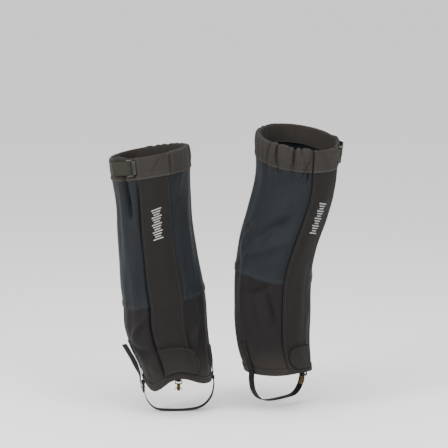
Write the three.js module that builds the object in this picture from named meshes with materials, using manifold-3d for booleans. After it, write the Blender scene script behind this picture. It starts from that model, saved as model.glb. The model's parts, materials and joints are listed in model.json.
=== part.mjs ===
// A pair of front-closing trekking gaiters, worn and standing as on two legs.
// Millimetres, +Z up, the wearer faces -Y. The origin is on the right leg's axis at hem height.
import * as THREE from "three";
import Module from "manifold-3d";

const wasm = await Module();
wasm.setup();

// ---------------------------------------------------------------- driving dimensions
const HEIGHT = 425; // length of the sleeve's cloth, before each leg's rise
const CASING_HEIGHT = 35;
const CASING_LOW = HEIGHT - CASING_HEIGHT;
const HEM_HEIGHT = 11;
const SEAM_HEIGHT = 145; // where the upper and lower panels meet beside the flap, on the outer side
const SEAM_STEP = 8; // how much higher that seam starts on the inner side
const SEAM_RISE = 20; // and how much higher it is at the back
const FABRIC = 1.2;
const STRIP = 0.5; // hook and loop strips
const SEAM_GAP = 0.3; // between neighbouring solids
const STRAP_WIDTH = 25;
const WEBBING = 1.3;
const STIRRUP_WIDTH = 15;
const STIRRUP_DROP = 58; // from the hem to the underside of the boot's arch

// Layers of cloth, as the distance of each layer's inner face from the shell's inner face.
const SEAM_TAPE = -2;
const SHELL = 0;
const HOOK_STRIP = 1.6;
const LOOP_STRIP = 2.5;
const HEM_BAND = 1.8;
const FLAP = 3.4;
const TAB_HOOK = 5.0;
const TAB = 5.9;
const CASING_BACK = -4.6; // the inner leaf of the folded casing
const ELASTIC = -2.9;
const ELASTIC_THICK = 1.9;

// Angles round the leg in degrees: 0 at the front, the inner side positive.
const ANGLES = [0, 7.5, 15, 22.5, 34, 46, 58, 70, 82, 98, 110, 125, 140, 155, 168, 180];
const FLAP_EDGE = 22.5;
const UNDERLAP = -15; // the inner panel's front edge, under the flap
const ANCHOR_FROM = 82;
const ANCHOR_TO = 98;
const STRAP_STRAIGHT_TO = -58;
const STRAP_END = -155;
const SLIDER_ANGLE = -31;

// Half-widths of the cloth tube at each height: across the leg, and front to back.
const GIRTH = [
  { z: 0, across: 61, deep: 64 },
  { z: 35, across: 68, deep: 63 },
  { z: 60, across: 72, deep: 63 },
  { z: 100, across: 76, deep: 64 },
  { z: 145, across: 76, deep: 65 },
  { z: 180, across: 76, deep: 66 },
  { z: 235, across: 72, deep: 72 },
  { z: 290, across: 69, deep: 75 },
  { z: 345, across: 69, deep: 77 },
  { z: 390, across: 71, deep: 78 },
  { z: 425, across: 72, deep: 78 },
];

// How each leg leans: the middle of the tube at the same heights. The left leg is in mid stride.
// The top edge slopes by tilt, lowest at the angle tiltAt, and stands higher by rise. The hem lifts over
// the instep by frontRise and hangs lower in front of the outer side by hemSag. The bunched cloth of the
// bent leg carries its panel seam higher by seamUp.
const RIGHT_LEG = {
  name: "right",
  side: 1,
  turn: 6,
  place: new THREE.Vector3(0, 0, 0),
  tilt: 12.4,
  tiltAt: -81,
  rise: 8,
  frontRise: 16,
  hemSag: 13,
  seamUp: 0,
  tabReach: 36,
  tabLow: 12,
  tabHigh: 62,
  x: [2, -3, -11, -20, -23, -28, -35, -41, -44, -48, -51],
  y: [0, 0, 0, 0, 0, 0, 0, 0, 0, 0, 0],
};
const LEFT_LEG = {
  name: "left",
  side: -1,
  turn: 41,
  place: new THREE.Vector3(192, 30, 14),
  tilt: 19.8,
  tiltAt: 16,
  rise: 22,
  frontRise: 4,
  hemSag: 0,
  seamUp: 23,
  tabReach: 18,
  tabLow: 7,
  tabHigh: 50,
  x: [0, -8, -11, -12, -12, -10, -1, 15, 29, 32, 34],
  y: [0, -4, -7, -11, -16, -20, -26, -32, -38, -43, -46],
};

// ---------------------------------------------------------------- materials
function finish(color, roughness, metalness = 0) {
  return () => new THREE.MeshStandardMaterial({ color, roughness, metalness });
}
const slateShell = finish(0x2d3439, 0.8);
const toughShell = finish(0x2c2827, 0.85);
const flapCloth = finish(0x332f2d, 0.8);
const casingCloth = finish(0x4a4541, 0.85);
const oliveWebbing = finish(0x45453d, 0.85);
const blackWebbing = finish(0x201e1c, 0.85);
const blackStrip = finish(0x171717, 0.9);
const elasticBand = finish(0x222222, 0.9);
const blackPlastic = finish(0x1d1d1e, 0.4);
const brass = finish(0x8a6a30, 0.35, 1);
const paleMark = finish(0xb8b8b8, 0.5);

// ---------------------------------------------------------------- geometry helpers
const radians = THREE.MathUtils.degToRad;

// A straight-line reading of a list of values given at the GIRTH heights.
function readAt(z, valueAt) {
  const last = GIRTH.length - 1;
  const clamped = THREE.MathUtils.clamp(z, GIRTH[0].z, GIRTH[last].z);
  let i = 0;
  while (i < last - 1 && clamped > GIRTH[i + 1].z) i += 1;
  const share = (clamped - GIRTH[i].z) / (GIRTH[i + 1].z - GIRTH[i].z);
  return THREE.MathUtils.lerp(valueAt(i), valueAt(i + 1), share);
}

// The heights at which a piece from low to high needs points.
function heightsBetween(low, high) {
  const inside = GIRTH.map((row) => row.z).filter((z) => z > low + 2 && z < high - 2);
  return [low, ...inside, high];
}

// The angles at which a piece from one angle to another needs points.
function anglesBetween(from, to) {
  const all = [...ANGLES.slice(1).map((a) => -a), ...ANGLES].sort((p, q) => p - q);
  return [from, ...all.filter((a) => a > from + 0.5 && a < to - 0.5), to];
}

// A point of one leg's cloth: angle round the leg, height, and distance out from the shell's inner face.
function onLeg(leg, angle, z, out) {
  const across = readAt(z, (i) => GIRTH[i].across);
  const deep = readAt(z, (i) => GIRTH[i].deep);
  const t = radians(angle);
  const facing = new THREE.Vector2(Math.sin(t) / across, -Math.cos(t) / deep).normalize();
  const flat = new THREE.Vector2(across * Math.sin(t), -deep * Math.cos(t)).addScaledVector(facing, out);
  flat.x *= leg.side;
  flat.rotateAround(new THREE.Vector2(0, 0), radians(leg.turn));
  const lean = leg.rise - leg.tilt * Math.cos(radians(angle - leg.tiltAt));
  const instep = leg.frontRise * Math.exp(-((angle / 32) ** 2)) * (1 - z / HEIGHT);
  const sag = leg.hemSag * Math.exp(-(((angle + 48) / 24) ** 2)) * Math.exp(-Math.max(0, z) / 70);
  return new THREE.Vector3(
    flat.x + readAt(z, (i) => leg.x[i]),
    flat.y + readAt(z, (i) => leg.y[i]),
    z + instep - sag + lean * Math.min(1, z / CASING_LOW),
  );
}

// The upright frame at a point of the cloth: x along the cloth, y up, z outwards.
function frameOnLeg(leg, angle, z, out) {
  const origin = onLeg(leg, angle, z, out);
  const outward = onLeg(leg, angle, z, out + 10).sub(origin).setZ(0).normalize();
  const up = new THREE.Vector3(0, 0, 1);
  const along = new THREE.Vector3().crossVectors(up, outward);
  return new THREE.Matrix4().makeBasis(along, up, outward).setPosition(origin);
}

// A geometry from points and triangles, turned so that its faces point out.
function closedGeometry(points, triangles) {
  let volume = 0;
  for (const [a, b, c] of triangles) {
    volume += points[a].dot(new THREE.Vector3().crossVectors(points[b], points[c]));
  }
  const outward = volume > 0 ? triangles : triangles.map(([a, b, c]) => [a, c, b]);
  const geometry = new THREE.BufferGeometry();
  const flat = points.flatMap((p) => [p.x, p.y, p.z]);
  geometry.setAttribute("position", new THREE.Float32BufferAttribute(flat, 3));
  geometry.setIndex(outward.flat());
  geometry.computeVertexNormals();
  return geometry;
}

// A sheet with thickness: two grids of points over us and vs, joined round their edges.
function sheet(us, vs, inner, outer) {
  const points = [];
  for (const face of [inner, outer]) {
    for (const u of us) {
      for (const v of vs) points.push(face(u, v));
    }
  }
  const rows = us.length;
  const columns = vs.length;
  const at = (face, i, j) => face * rows * columns + i * columns + j;
  const triangles = [];
  const quad = (a, b, c, d) => triangles.push([a, b, c], [a, c, d]);
  for (let i = 0; i < rows - 1; i += 1) {
    for (let j = 0; j < columns - 1; j += 1) {
      quad(at(0, i, j), at(0, i, j + 1), at(0, i + 1, j + 1), at(0, i + 1, j));
      triangles.push([at(1, i, j), at(1, i + 1, j + 1), at(1, i, j + 1)]);
      triangles.push([at(1, i, j), at(1, i + 1, j), at(1, i + 1, j + 1)]);
    }
  }
  for (let i = 0; i < rows - 1; i += 1) {
    quad(at(0, i, 0), at(0, i + 1, 0), at(1, i + 1, 0), at(1, i, 0));
    const top = columns - 1;
    quad(at(0, i + 1, top), at(0, i, top), at(1, i, top), at(1, i + 1, top));
  }
  for (let j = 0; j < columns - 1; j += 1) {
    quad(at(0, 0, j + 1), at(0, 0, j), at(1, 0, j), at(1, 0, j + 1));
    const end = rows - 1;
    quad(at(0, end, j), at(0, end, j + 1), at(1, end, j + 1), at(1, end, j));
  }
  return closedGeometry(points, triangles);
}

// A patch of cloth on a leg. topAt may move the upper edge with the angle, and bottomAt the lower one.
function patch(leg, from, to, low, high, out, thick, topAt = () => high, bottomAt = () => low) {
  const place = (distance) => (angle, z) => {
    const share = (z - low) / (high - low);
    const height = THREE.MathUtils.lerp(bottomAt(angle), topAt(angle), share);
    return onLeg(leg, angle, height, distance);
  };
  return sheet(anglesBetween(from, to), heightsBetween(low, high), place(out), place(out + thick));
}

// A folded band: its closed outline of (height, distance out) is swept round the leg.
function foldedBand(leg, from, to, outline) {
  const angles = anglesBetween(from, to);
  const points = angles.flatMap((a) => outline.map((corner) => onLeg(leg, a, corner.x, corner.y)));
  const count = outline.length;
  const triangles = [];
  for (let i = 0; i < angles.length - 1; i += 1) {
    for (let k = 0; k < count; k += 1) {
      const next = (k + 1) % count;
      const [a, b] = [i * count + k, i * count + next];
      const [c, d] = [a + count, b + count];
      triangles.push([a, b, d], [a, d, c]);
    }
  }
  const end = (angles.length - 1) * count;
  const winding = Math.sign(THREE.ShapeUtils.area(outline));
  for (const corners of THREE.ShapeUtils.triangulateShape(outline, [])) {
    const turn = Math.sign(THREE.ShapeUtils.area(corners.map((k) => outline[k])));
    const [a, b, c] = turn === winding ? corners : [...corners].reverse();
    triangles.push([a, c, b], [end + a, end + b, end + c]);
  }
  return closedGeometry(points, triangles);
}

function rectangle(width, height) {
  const shape = new THREE.Shape();
  shape.moveTo(-width / 2, -height / 2);
  shape.lineTo(width / 2, -height / 2);
  shape.lineTo(width / 2, height / 2);
  shape.lineTo(-width / 2, height / 2);
  shape.closePath();
  return shape;
}

// An outline extruded evenly to both sides of its plane.
function plate(shape, thick) {
  const geometry = new THREE.ExtrudeGeometry(shape, { depth: thick, bevelEnabled: false, curveSegments: 6 });
  return geometry.translate(0, 0, -thick / 2);
}

// A ring round the x axis: the fold of a webbing loop.
function ringPlate(outerRadius, innerRadius, width) {
  const ring = new THREE.Shape();
  ring.absarc(0, 0, outerRadius, 0, 2 * Math.PI, false);
  const eye = new THREE.Path();
  eye.absarc(0, 0, innerRadius, 0, 2 * Math.PI, false);
  ring.holes.push(eye);
  return plate(ring, width).rotateY(Math.PI / 2);
}

// The outline of a ribbon of one thickness along a run of points.
function ribbonOutline(run, thick) {
  const sideAt = (i) => {
    const before = run[Math.max(i - 1, 0)];
    const after = run[Math.min(i + 1, run.length - 1)];
    const heading = after.clone().sub(before).normalize();
    return new THREE.Vector2(-heading.y, heading.x).multiplyScalar(thick / 2);
  };
  const left = run.map((p, i) => p.clone().add(sideAt(i)));
  const right = run.map((p, i) => p.clone().sub(sideAt(i))).reverse();
  return new THREE.Shape([...left, ...right]);
}

// manifold-3d solids from geometries, for joining and cutting.
function solid(geometry) {
  const source = geometry.index ? geometry.toNonIndexed() : geometry;
  const position = source.getAttribute("position");
  const keys = new Map();
  const vertProperties = [];
  const triVerts = [];
  for (let i = 0; i < position.count; i += 1) {
    const corner = [position.getX(i), position.getY(i), position.getZ(i)];
    const key = corner.map((value) => Math.round(value * 1000)).join();
    if (!keys.has(key)) {
      keys.set(key, vertProperties.length / 3);
      vertProperties.push(...corner);
    }
    triVerts.push(keys.get(key));
  }
  const mesh = new wasm.Mesh({
    numProp: 3,
    vertProperties: new Float32Array(vertProperties),
    triVerts: new Uint32Array(triVerts),
  });
  return new wasm.Manifold(mesh);
}

function joined(...geometries) {
  const result = geometries.map(solid).reduce((whole, piece) => whole.add(piece)).getMesh();
  const geometry = new THREE.BufferGeometry();
  geometry.setAttribute("position", new THREE.BufferAttribute(result.vertProperties, 3));
  geometry.setIndex(new THREE.BufferAttribute(result.triVerts, 1));
  geometry.computeVertexNormals();
  return geometry;
}

// ---------------------------------------------------------------- shell
// The seam between the upper and lower panels: it climbs early on the inner side, late on the outer one.
function seamHeight(leg, angle) {
  const inner = angle > UNDERLAP - 1;
  const from = inner ? FLAP_EDGE : -98;
  const share = THREE.MathUtils.clamp((angle - from) / (inner ? 60 : -82), 0, 1);
  const step = inner ? SEAM_STEP : 0;
  return SEAM_HEIGHT + leg.seamUp + step + (SEAM_RISE - step) * share;
}

function panels(leg, add) {
  const shellTop = CASING_LOW - SEAM_GAP;
  const seam = (angle) => seamHeight(leg, angle);
  const under = (angle) => seam(angle) - SEAM_GAP;
  const halves = [
    { half: "outer", from: -180 + SEAM_GAP, to: -FLAP_EDGE },
    { half: "inner", from: UNDERLAP, to: 180 - SEAM_GAP },
  ];
  for (const { half, from, to } of halves) {
    const front = seam(half === "inner" ? from : to);
    const lower = patch(leg, from, to, 0, front, SHELL, FABRIC, under);
    const upper = patch(leg, from, to, front, shellTop, SHELL, FABRIC, () => shellTop, seam);
    const hem = patch(leg, from, to, 0, HEM_HEIGHT, HEM_BAND, FABRIC);
    add(`upper_${half}_panel`, upper, slateShell);
    add(`lower_${half}_panel`, lower, toughShell);
    add(`hem_band_${half}`, hem, toughShell);
  }
  const tape = patch(leg, 168, 180, HEM_HEIGHT, shellTop, SEAM_TAPE, STRIP);
  add("back_seam_tape", tape, blackStrip);
}

// ---------------------------------------------------------------- top edge
function casing(leg, add) {
  const bottom = CASING_LOW;
  const back = CASING_BACK;
  const fold = [
    [bottom, FABRIC],
    [HEIGHT, FABRIC],
    [HEIGHT, back],
    [bottom, back],
    [bottom, back + FABRIC],
    [HEIGHT - FABRIC, back + FABRIC],
    [HEIGHT - FABRIC, 0],
    [bottom, 0],
  ].map(([z, out]) => new THREE.Vector2(z, out));
  add("casing_outer", foldedBand(leg, -180 + SEAM_GAP, -FLAP_EDGE, fold), casingCloth);
  add("casing_inner", foldedBand(leg, UNDERLAP, 180 - SEAM_GAP, fold), casingCloth);
  const margin = (CASING_HEIGHT - STRAP_WIDTH) / 2;
  const elastic = patch(leg, FLAP_EDGE, 168, bottom + margin, HEIGHT - margin, ELASTIC, ELASTIC_THICK);
  add("casing_elastic", elastic, elasticBand);
}

// The strap stands off the casing where the slider runs on it, and lies on it further round.
function strapOut(angle) {
  if (angle > -30) return 6.8;
  if (angle > -60) return 11;
  return angle > -80 ? 4 : 2.2;
}

function topStrap(leg, add) {
  const middle = HEIGHT - CASING_HEIGHT / 2;
  const low = middle - STRAP_WIDTH / 2;
  const high = middle + STRAP_WIDTH / 2;
  const start = -FLAP_EDGE - 1;
  const angles = [...anglesBetween(STRAP_END, STRAP_STRAIGHT_TO), start];
  const face = (extra) => (angle, z) => onLeg(leg, angle, z, strapOut(angle) + extra);
  add("top_webbing", sheet(angles, [low, high], face(0), face(WEBBING)), oliveWebbing);

  const share = (SLIDER_ANGLE - start) / (STRAP_STRAIGHT_TO - start);
  const onStrap = (angle, z) => onLeg(leg, angle, z, strapOut(angle) + WEBBING / 2);
  const near = onStrap(start, middle);
  const far = onStrap(STRAP_STRAIGHT_TO, middle);
  const run = far.clone().sub(near).normalize();
  const lean = onStrap(start, high).sub(onStrap(start, low));
  lean.lerp(onStrap(STRAP_STRAIGHT_TO, high).sub(onStrap(STRAP_STRAIGHT_TO, low)), share);
  const outward = new THREE.Vector3().crossVectors(run, lean).normalize();
  const across = new THREE.Vector3().crossVectors(outward, run);
  const ring = rectangle(STRAP_WIDTH + 5, WEBBING + 3.8);
  ring.holes.push(rectangle(STRAP_WIDTH + 1.4, WEBBING + 1));
  const slider = add("top_slider", plate(ring, 16), blackPlastic);
  slider.quaternion.setFromRotationMatrix(new THREE.Matrix4().makeBasis(across, outward, run.clone()));
  slider.position.lerpVectors(near, far, share);
}

// ---------------------------------------------------------------- front closure
function frontFlap(leg, add) {
  const top = CASING_LOW - SEAM_GAP;
  const edge = FLAP_EDGE;
  const start = -edge + 0.6;
  add("front_flap", patch(leg, start, edge, 0, top, FLAP, FABRIC), flapCloth);
  const bandTop = patch(leg, start, edge, CASING_LOW, HEIGHT + 1, HOOK_STRIP + 0.8, 2.4);
  add("flap_top_band", bandTop, casingCloth);
  add("flap_loop_strip", patch(leg, 0, 15, HEM_HEIGHT + 3, top - 4, LOOP_STRIP, STRIP), blackStrip);
  add("front_hook_strip", patch(leg, 0, 15, HEM_HEIGHT + 3, top - 4, HOOK_STRIP, STRIP), blackStrip);
  const mark = patch(leg, -7.5, 7.5, 265, 329, FLAP + FABRIC + SEAM_GAP, 0.4);
  add("reflective_mark", mark, paleMark);
}

// A tab across the foot of the flap, with a rounded end towards the inner side.
function closureTab(leg, add) {
  const middle = (leg.tabLow + leg.tabHigh) / 2;
  const half = (leg.tabHigh - leg.tabLow) / 2;
  const reach = leg.tabReach;
  const start = -FLAP_EDGE + 0.6;
  const roundFrom = reach - 16;
  const angles = [...new Set([...anglesBetween(start, reach), roundFrom, reach - 4, reach - 1])];
  angles.sort((p, q) => p - q);
  const halfAt = (angle) => {
    const share = THREE.MathUtils.clamp((angle - roundFrom) / (reach - roundFrom), 0, 0.985);
    return half * Math.sqrt(1 - share ** 2.4);
  };
  const face = (out) => (angle, share) => onLeg(leg, angle, middle + share * halfAt(angle), out);
  const shares = [-1, -0.5, 0, 0.5, 1];
  add("closure_tab", sheet(angles, shares, face(TAB), face(TAB + FABRIC)), flapCloth);
  const patchFrom = reach > 30 ? 24.5 : 2;
  const patchTo = reach - 4.5;
  const hooks = patch(leg, patchFrom, patchTo, middle - 14, middle + 14, TAB_HOOK, STRIP);
  add("tab_hook_patch", hooks, blackStrip);
  if (reach > 30) {
    const loops = patch(leg, patchFrom, patchTo, middle - 15, middle + 15, HOOK_STRIP, STRIP);
    add("tab_loop_patch", loops, blackStrip);
  }
}

// ---------------------------------------------------------------- lace hook
function laceHook(leg, add) {
  const inside = -1.8;
  const middle = inside + WEBBING / 2;
  const tapeFrom = -7.5;
  const pivot = frameOnLeg(leg, tapeFrom / 2, 0, middle);
  const drop = -4;
  const place = (mesh) => {
    mesh.quaternion.setFromRotationMatrix(pivot);
    mesh.position.setFromMatrixPosition(pivot);
    mesh.translateY(drop);
  };
  // The tape is sewn inside the panel's edge and folded round the hook's top bar.
  const flat = patch(leg, tapeFrom, 0, 0, 26, inside, WEBBING);
  const tapeRing = ringPlate(2.9, 1.7, 8).translate(0, drop, 0).applyMatrix4(pivot);
  const neckRun = [new THREE.Vector2(0, 1), new THREE.Vector2(0, drop + 2.3)];
  const neck = plate(ribbonOutline(neckRun, WEBBING), 8).rotateY(-Math.PI / 2).applyMatrix4(pivot);
  add("hook_tape", joined(flat, neck, tapeRing), blackWebbing);

  const body = rectangle(14, 8);
  body.holes.push(rectangle(10.4, 4.6));
  const frame = plate(body, 1.6).translate(0, -3, 0);
  const curl = [
    [0, -6],
    [0, -15],
    [-0.6, -18],
    [-2.6, -19.4],
    [-4.8, -18.6],
    [-5.8, -16],
    [-5.8, -12],
  ].map(([out, up]) => new THREE.Vector2(out, up));
  const stem = plate(ribbonOutline(curl, 1.6), 6).rotateY(-Math.PI / 2);
  place(add("lace_hook", joined(frame, stem), brass));

  const rivet = add("hook_rivet", new THREE.CylinderGeometry(2.6, 2.6, 0.8, 12).rotateX(Math.PI / 2), brass);
  const rivetFrame = frameOnLeg(leg, tapeFrom / 2, 14, inside - 1.3);
  rivet.quaternion.setFromRotationMatrix(rivetFrame);
  rivet.position.setFromMatrixPosition(rivetFrame);
}

// ---------------------------------------------------------------- stirrup
function stirrup(leg, add) {
  const outerTop = 78;
  const innerTop = 62;
  const onHem = FLAP;
  const pivotOuter = frameOnLeg(leg, -90, 0, onHem + 2);
  const barDrop = -4;
  const loopHeight = 2;

  // Outer anchor: flat webbing on the panel, folded round the buckle's top bar at its foot.
  const flat = patch(leg, -ANCHOR_TO, -ANCHOR_FROM, loopHeight, outerTop, onHem, WEBBING);
  const loop = ringPlate(3.4, 2.2, 15).translate(0, barDrop, 0);
  const foot = onLeg(leg, -90, loopHeight + 1, onHem + 0.6 * WEBBING);
  foot.applyMatrix4(pivotOuter.clone().invert());
  const neckRun = [new THREE.Vector2(foot.z, foot.y), new THREE.Vector2(-1.35, barDrop + 2.6)];
  const neck = plate(ribbonOutline(neckRun, WEBBING), 15).rotateY(-Math.PI / 2);
  loop.applyMatrix4(pivotOuter);
  neck.applyMatrix4(pivotOuter);
  add("stirrup_anchor_outer", joined(flat, neck, loop), blackWebbing);

  const inner = patch(leg, ANCHOR_FROM, ANCHOR_TO, 0, innerTop, onHem, WEBBING);
  add("stirrup_anchor_inner", inner, blackWebbing);

  // Buckle: a frame with a top bar in the loop and a middle bar for the strap.
  const body = rectangle(21, 20);
  for (const [size, up] of [[5.4, 4.6], [5, -4.2]]) {
    const slot = rectangle(16, size).getPoints().map((p) => new THREE.Vector2(p.x, p.y + up));
    body.holes.push(new THREE.Path(slot));
  }
  const buckle = add("stirrup_buckle", plate(body, 2.6).translate(0, -8.8, 0), blackPlastic);
  buckle.quaternion.setFromRotationMatrix(pivotOuter);
  buckle.position.setFromMatrixPosition(pivotOuter);
  buckle.translateY(barDrop);

  // Strap: hangs as a loop in the upright plane through both anchors, and laps over the inner one.
  const clear = onHem + WEBBING;
  const lapOut = clear + 0.9 + WEBBING / 2;
  const outerPoint = onLeg(leg, -90, 0, onHem + 2);
  const innerPoint = onLeg(leg, 90, 0, lapOut);
  const heading = innerPoint.clone().sub(outerPoint).setZ(0).normalize();
  const span = innerPoint.clone().sub(outerPoint).dot(heading);
  const lapEnd = onLeg(leg, 90, 8, lapOut).sub(outerPoint);
  const run = [
    [2.6, -10],
    [2.8, -22],
    [8, -39],
    [22, -STIRRUP_DROP + 4],
    [44, -STIRRUP_DROP],
    [span - 44, -STIRRUP_DROP],
    [span - 20, -STIRRUP_DROP + 7],
    [span - 5, -34],
    [span, -14],
    [span, 0],
    [lapEnd.dot(heading), lapEnd.z],
  ].map(([s, z]) => new THREE.Vector2(s, z));
  const up = new THREE.Vector3(0, 0, 1);
  const plane = new THREE.Matrix4().makeBasis(heading, up, new THREE.Vector3().crossVectors(heading, up));
  const strap = add("stirrup_strap", plate(ribbonOutline(run, WEBBING), STIRRUP_WIDTH), blackWebbing);
  strap.quaternion.setFromRotationMatrix(plane);
  strap.position.copy(outerPoint);

  // Tail: from the buckle upwards, standing off the panel.
  const rise = [new THREE.Vector2(-2.8, -14), new THREE.Vector2(-5, -3)];
  for (const [height, gap] of [[10, 3.5], [22, 4], [38, 4.5], [54, 5.5], [70, 8]]) {
    const point = onLeg(leg, -90, height, clear + gap).sub(outerPoint);
    rise.push(new THREE.Vector2(point.dot(heading), point.z));
  }
  const tail = add("stirrup_tail", plate(ribbonOutline(rise, WEBBING), STIRRUP_WIDTH), blackWebbing);
  tail.quaternion.setFromRotationMatrix(plane);
  tail.position.copy(outerPoint);
}

// ---------------------------------------------------------------- the pair
function gaiter(leg) {
  const group = new THREE.Group();
  group.name = `${leg.name}_gaiter`;
  group.position.copy(leg.place);
  const add = (name, geometry, material) => {
    const mesh = new THREE.Mesh(geometry, material());
    mesh.name = `${leg.name}_${name}`;
    group.add(mesh);
    return mesh;
  };
  panels(leg, add);
  casing(leg, add);
  topStrap(leg, add);
  frontFlap(leg, add);
  closureTab(leg, add);
  laceHook(leg, add);
  stirrup(leg, add);
  return group;
}

const pair = new THREE.Group();
pair.add(gaiter(RIGHT_LEG), gaiter(LEFT_LEG));
export default pair;
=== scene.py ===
"""A pair of front-closing trekking gaiters, worn and standing as on two legs.

The shapes follow the CAD source: millimetres inside the functions, metres in the meshes,
+Z up, the wearer faces -Y, the origin on the right leg's axis at hem height.
"""

import json
import math

import bpy
import numpy as np
from mathutils import Matrix, Vector

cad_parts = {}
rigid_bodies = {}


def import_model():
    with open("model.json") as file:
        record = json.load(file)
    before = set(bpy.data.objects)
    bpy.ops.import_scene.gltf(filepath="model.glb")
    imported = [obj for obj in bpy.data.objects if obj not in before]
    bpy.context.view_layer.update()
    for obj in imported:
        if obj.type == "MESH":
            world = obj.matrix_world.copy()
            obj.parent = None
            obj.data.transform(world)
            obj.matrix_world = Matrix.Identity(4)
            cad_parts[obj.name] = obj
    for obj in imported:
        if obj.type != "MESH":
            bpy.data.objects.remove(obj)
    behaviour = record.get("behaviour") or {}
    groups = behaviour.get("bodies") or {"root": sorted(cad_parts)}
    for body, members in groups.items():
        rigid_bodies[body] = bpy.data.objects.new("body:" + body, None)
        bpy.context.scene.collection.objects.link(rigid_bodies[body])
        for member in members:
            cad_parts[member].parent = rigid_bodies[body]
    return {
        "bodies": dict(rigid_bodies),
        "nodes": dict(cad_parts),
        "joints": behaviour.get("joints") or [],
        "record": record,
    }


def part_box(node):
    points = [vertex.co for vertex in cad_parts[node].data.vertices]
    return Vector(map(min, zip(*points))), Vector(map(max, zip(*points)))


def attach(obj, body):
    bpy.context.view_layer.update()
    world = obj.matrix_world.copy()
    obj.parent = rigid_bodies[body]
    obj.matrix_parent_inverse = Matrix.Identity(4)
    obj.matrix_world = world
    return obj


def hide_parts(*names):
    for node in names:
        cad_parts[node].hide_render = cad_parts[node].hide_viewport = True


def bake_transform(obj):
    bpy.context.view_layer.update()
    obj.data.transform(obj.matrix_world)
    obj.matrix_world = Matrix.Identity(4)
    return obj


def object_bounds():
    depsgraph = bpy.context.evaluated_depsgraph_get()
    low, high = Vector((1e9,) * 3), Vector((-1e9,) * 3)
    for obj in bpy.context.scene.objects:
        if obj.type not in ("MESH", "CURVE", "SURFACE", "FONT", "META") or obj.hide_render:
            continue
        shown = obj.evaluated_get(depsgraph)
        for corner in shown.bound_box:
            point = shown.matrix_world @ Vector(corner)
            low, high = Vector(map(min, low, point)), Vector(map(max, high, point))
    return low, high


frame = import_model()
cad_low, cad_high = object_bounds()
scene = bpy.context.scene
MM = 0.001


# ---------------------------------------------------------------- camera, light and floor
def make_camera():
    data = bpy.data.cameras.new("camera")
    data.sensor_width = 36
    data.lens = 138.6
    data.clip_end = 1000
    camera = bpy.data.objects.new("camera", data)
    scene.collection.objects.link(camera)
    place, aim = Vector((0.089, -3.2, 0.72)), Vector((0.089, 0, 0.296))
    camera.location = place
    camera.rotation_euler = (aim - place).to_track_quat("-Z", "Y").to_euler()
    scene.camera = camera


def area_light(name, place, aim, size, watts):
    data = bpy.data.lights.new(name, "AREA")
    data.size, data.energy = size, watts
    light = bpy.data.objects.new(name, data)
    scene.collection.objects.link(light)
    light.location = place
    light.rotation_euler = (Vector(aim) - Vector(place)).to_track_quat("-Z", "Y").to_euler()


def make_studio():
    world = bpy.data.worlds.new("studio")
    scene.world = world
    world.use_nodes = True
    tree = world.node_tree
    background = tree.nodes["Background"]
    background.inputs["Color"].default_value = (1, 1, 1, 1)
    direction = tree.nodes.new("ShaderNodeTexCoord").outputs["Generated"]

    def glow(toward, power, strength):
        """Light from one part of the surroundings, fading away from its middle."""
        dot = tree.nodes.new("ShaderNodeVectorMath")
        dot.operation = "DOT_PRODUCT"
        tree.links.new(direction, dot.inputs[0])
        dot.inputs[1].default_value = Vector(toward).normalized()
        value = dot.outputs["Value"]
        for operation, amount in (("MAXIMUM", 0.0), ("POWER", power), ("MULTIPLY", strength)):
            node = tree.nodes.new("ShaderNodeMath")
            node.operation = operation
            node.inputs[1].default_value = amount
            tree.links.new(value, node.inputs[0])
            value = node.outputs[0]
        return value

    total = tree.nodes.new("ShaderNodeMath")
    total.operation = "ADD"
    tree.links.new(glow((0, 1, 0), 6, 0.4), total.inputs[0])
    tree.links.new(glow((-0.6, -0.5, 0.6), 2, 0.7), total.inputs[1])
    base = tree.nodes.new("ShaderNodeMath")
    base.operation = "ADD"
    base.inputs[1].default_value = 0.9
    tree.links.new(total.outputs[0], base.inputs[0])
    tree.links.new(base.outputs[0], background.inputs["Strength"])
    area_light("key", (-2.2, -1.8, 1.5), (0, 0, 0.2), 1.0, 90)
    area_light("fill", (1.8, -1.9, 1.1), (0.05, 0, 0.2), 1.6, 56)
    area_light("top", (0.2, -0.6, 2.2), (0.1, 0, 0.2), 1.2, 30)

    mesh = bpy.data.meshes.new("floor")
    low = cad_low.z - 0.002
    corners = [(-300, -300), (300, -300), (300, 300), (-300, 300)]
    mesh.from_pydata([(x, y, low) for x, y in corners], [], [(0, 1, 2, 3)])
    floor = bpy.data.objects.new("floor", mesh)
    scene.collection.objects.link(floor)
    material = bpy.data.materials.new("floor")
    material.use_nodes = True
    surface = material.node_tree.nodes["Principled BSDF"]
    surface.inputs["Base Color"].default_value = (0.93, 0.93, 0.93, 1)
    surface.inputs["Roughness"].default_value = 0.9
    mesh.materials.append(material)


make_camera()
make_studio()

# ---------------------------------------------------------------- dimensions, as in the CAD source
HEIGHT = 425.0
CASING_HEIGHT = 35.0
HEM_HEIGHT = 11.0
SEAM_HEIGHT = 145.0
SEAM_STEP = 8.0
SEAM_RISE = 20.0
FABRIC = 1.2
STRIP = 0.5
SEAM_GAP = 0.3
STRAP_WIDTH = 25.0
WEBBING = 1.3
STIRRUP_WIDTH = 15.0
STIRRUP_DROP = 58.0
SEAM_TAPE = -2.0
HOOK_STRIP = 1.6
LOOP_STRIP = 2.5
HEM_BAND = 1.8
FLAP = 3.4
TAB_HOOK = 5.0
TAB = 5.9
CASING_BACK = -4.6
ELASTIC = -2.9
ELASTIC_THICK = 1.9
FLAP_EDGE = 22.5
FLAP_START = -21.9
UNDERLAP = -15.0
CASING_LOW = HEIGHT - CASING_HEIGHT
BACK = 180.02
ARC = math.radians(1) * 73  # millimetres along the cloth for each degree, about

GIRTH_Z = np.array([0, 35, 60, 100, 145, 180, 235, 290, 345, 390, 425], float)
TABLE_Z = np.arange(0, 426.0)


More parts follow.
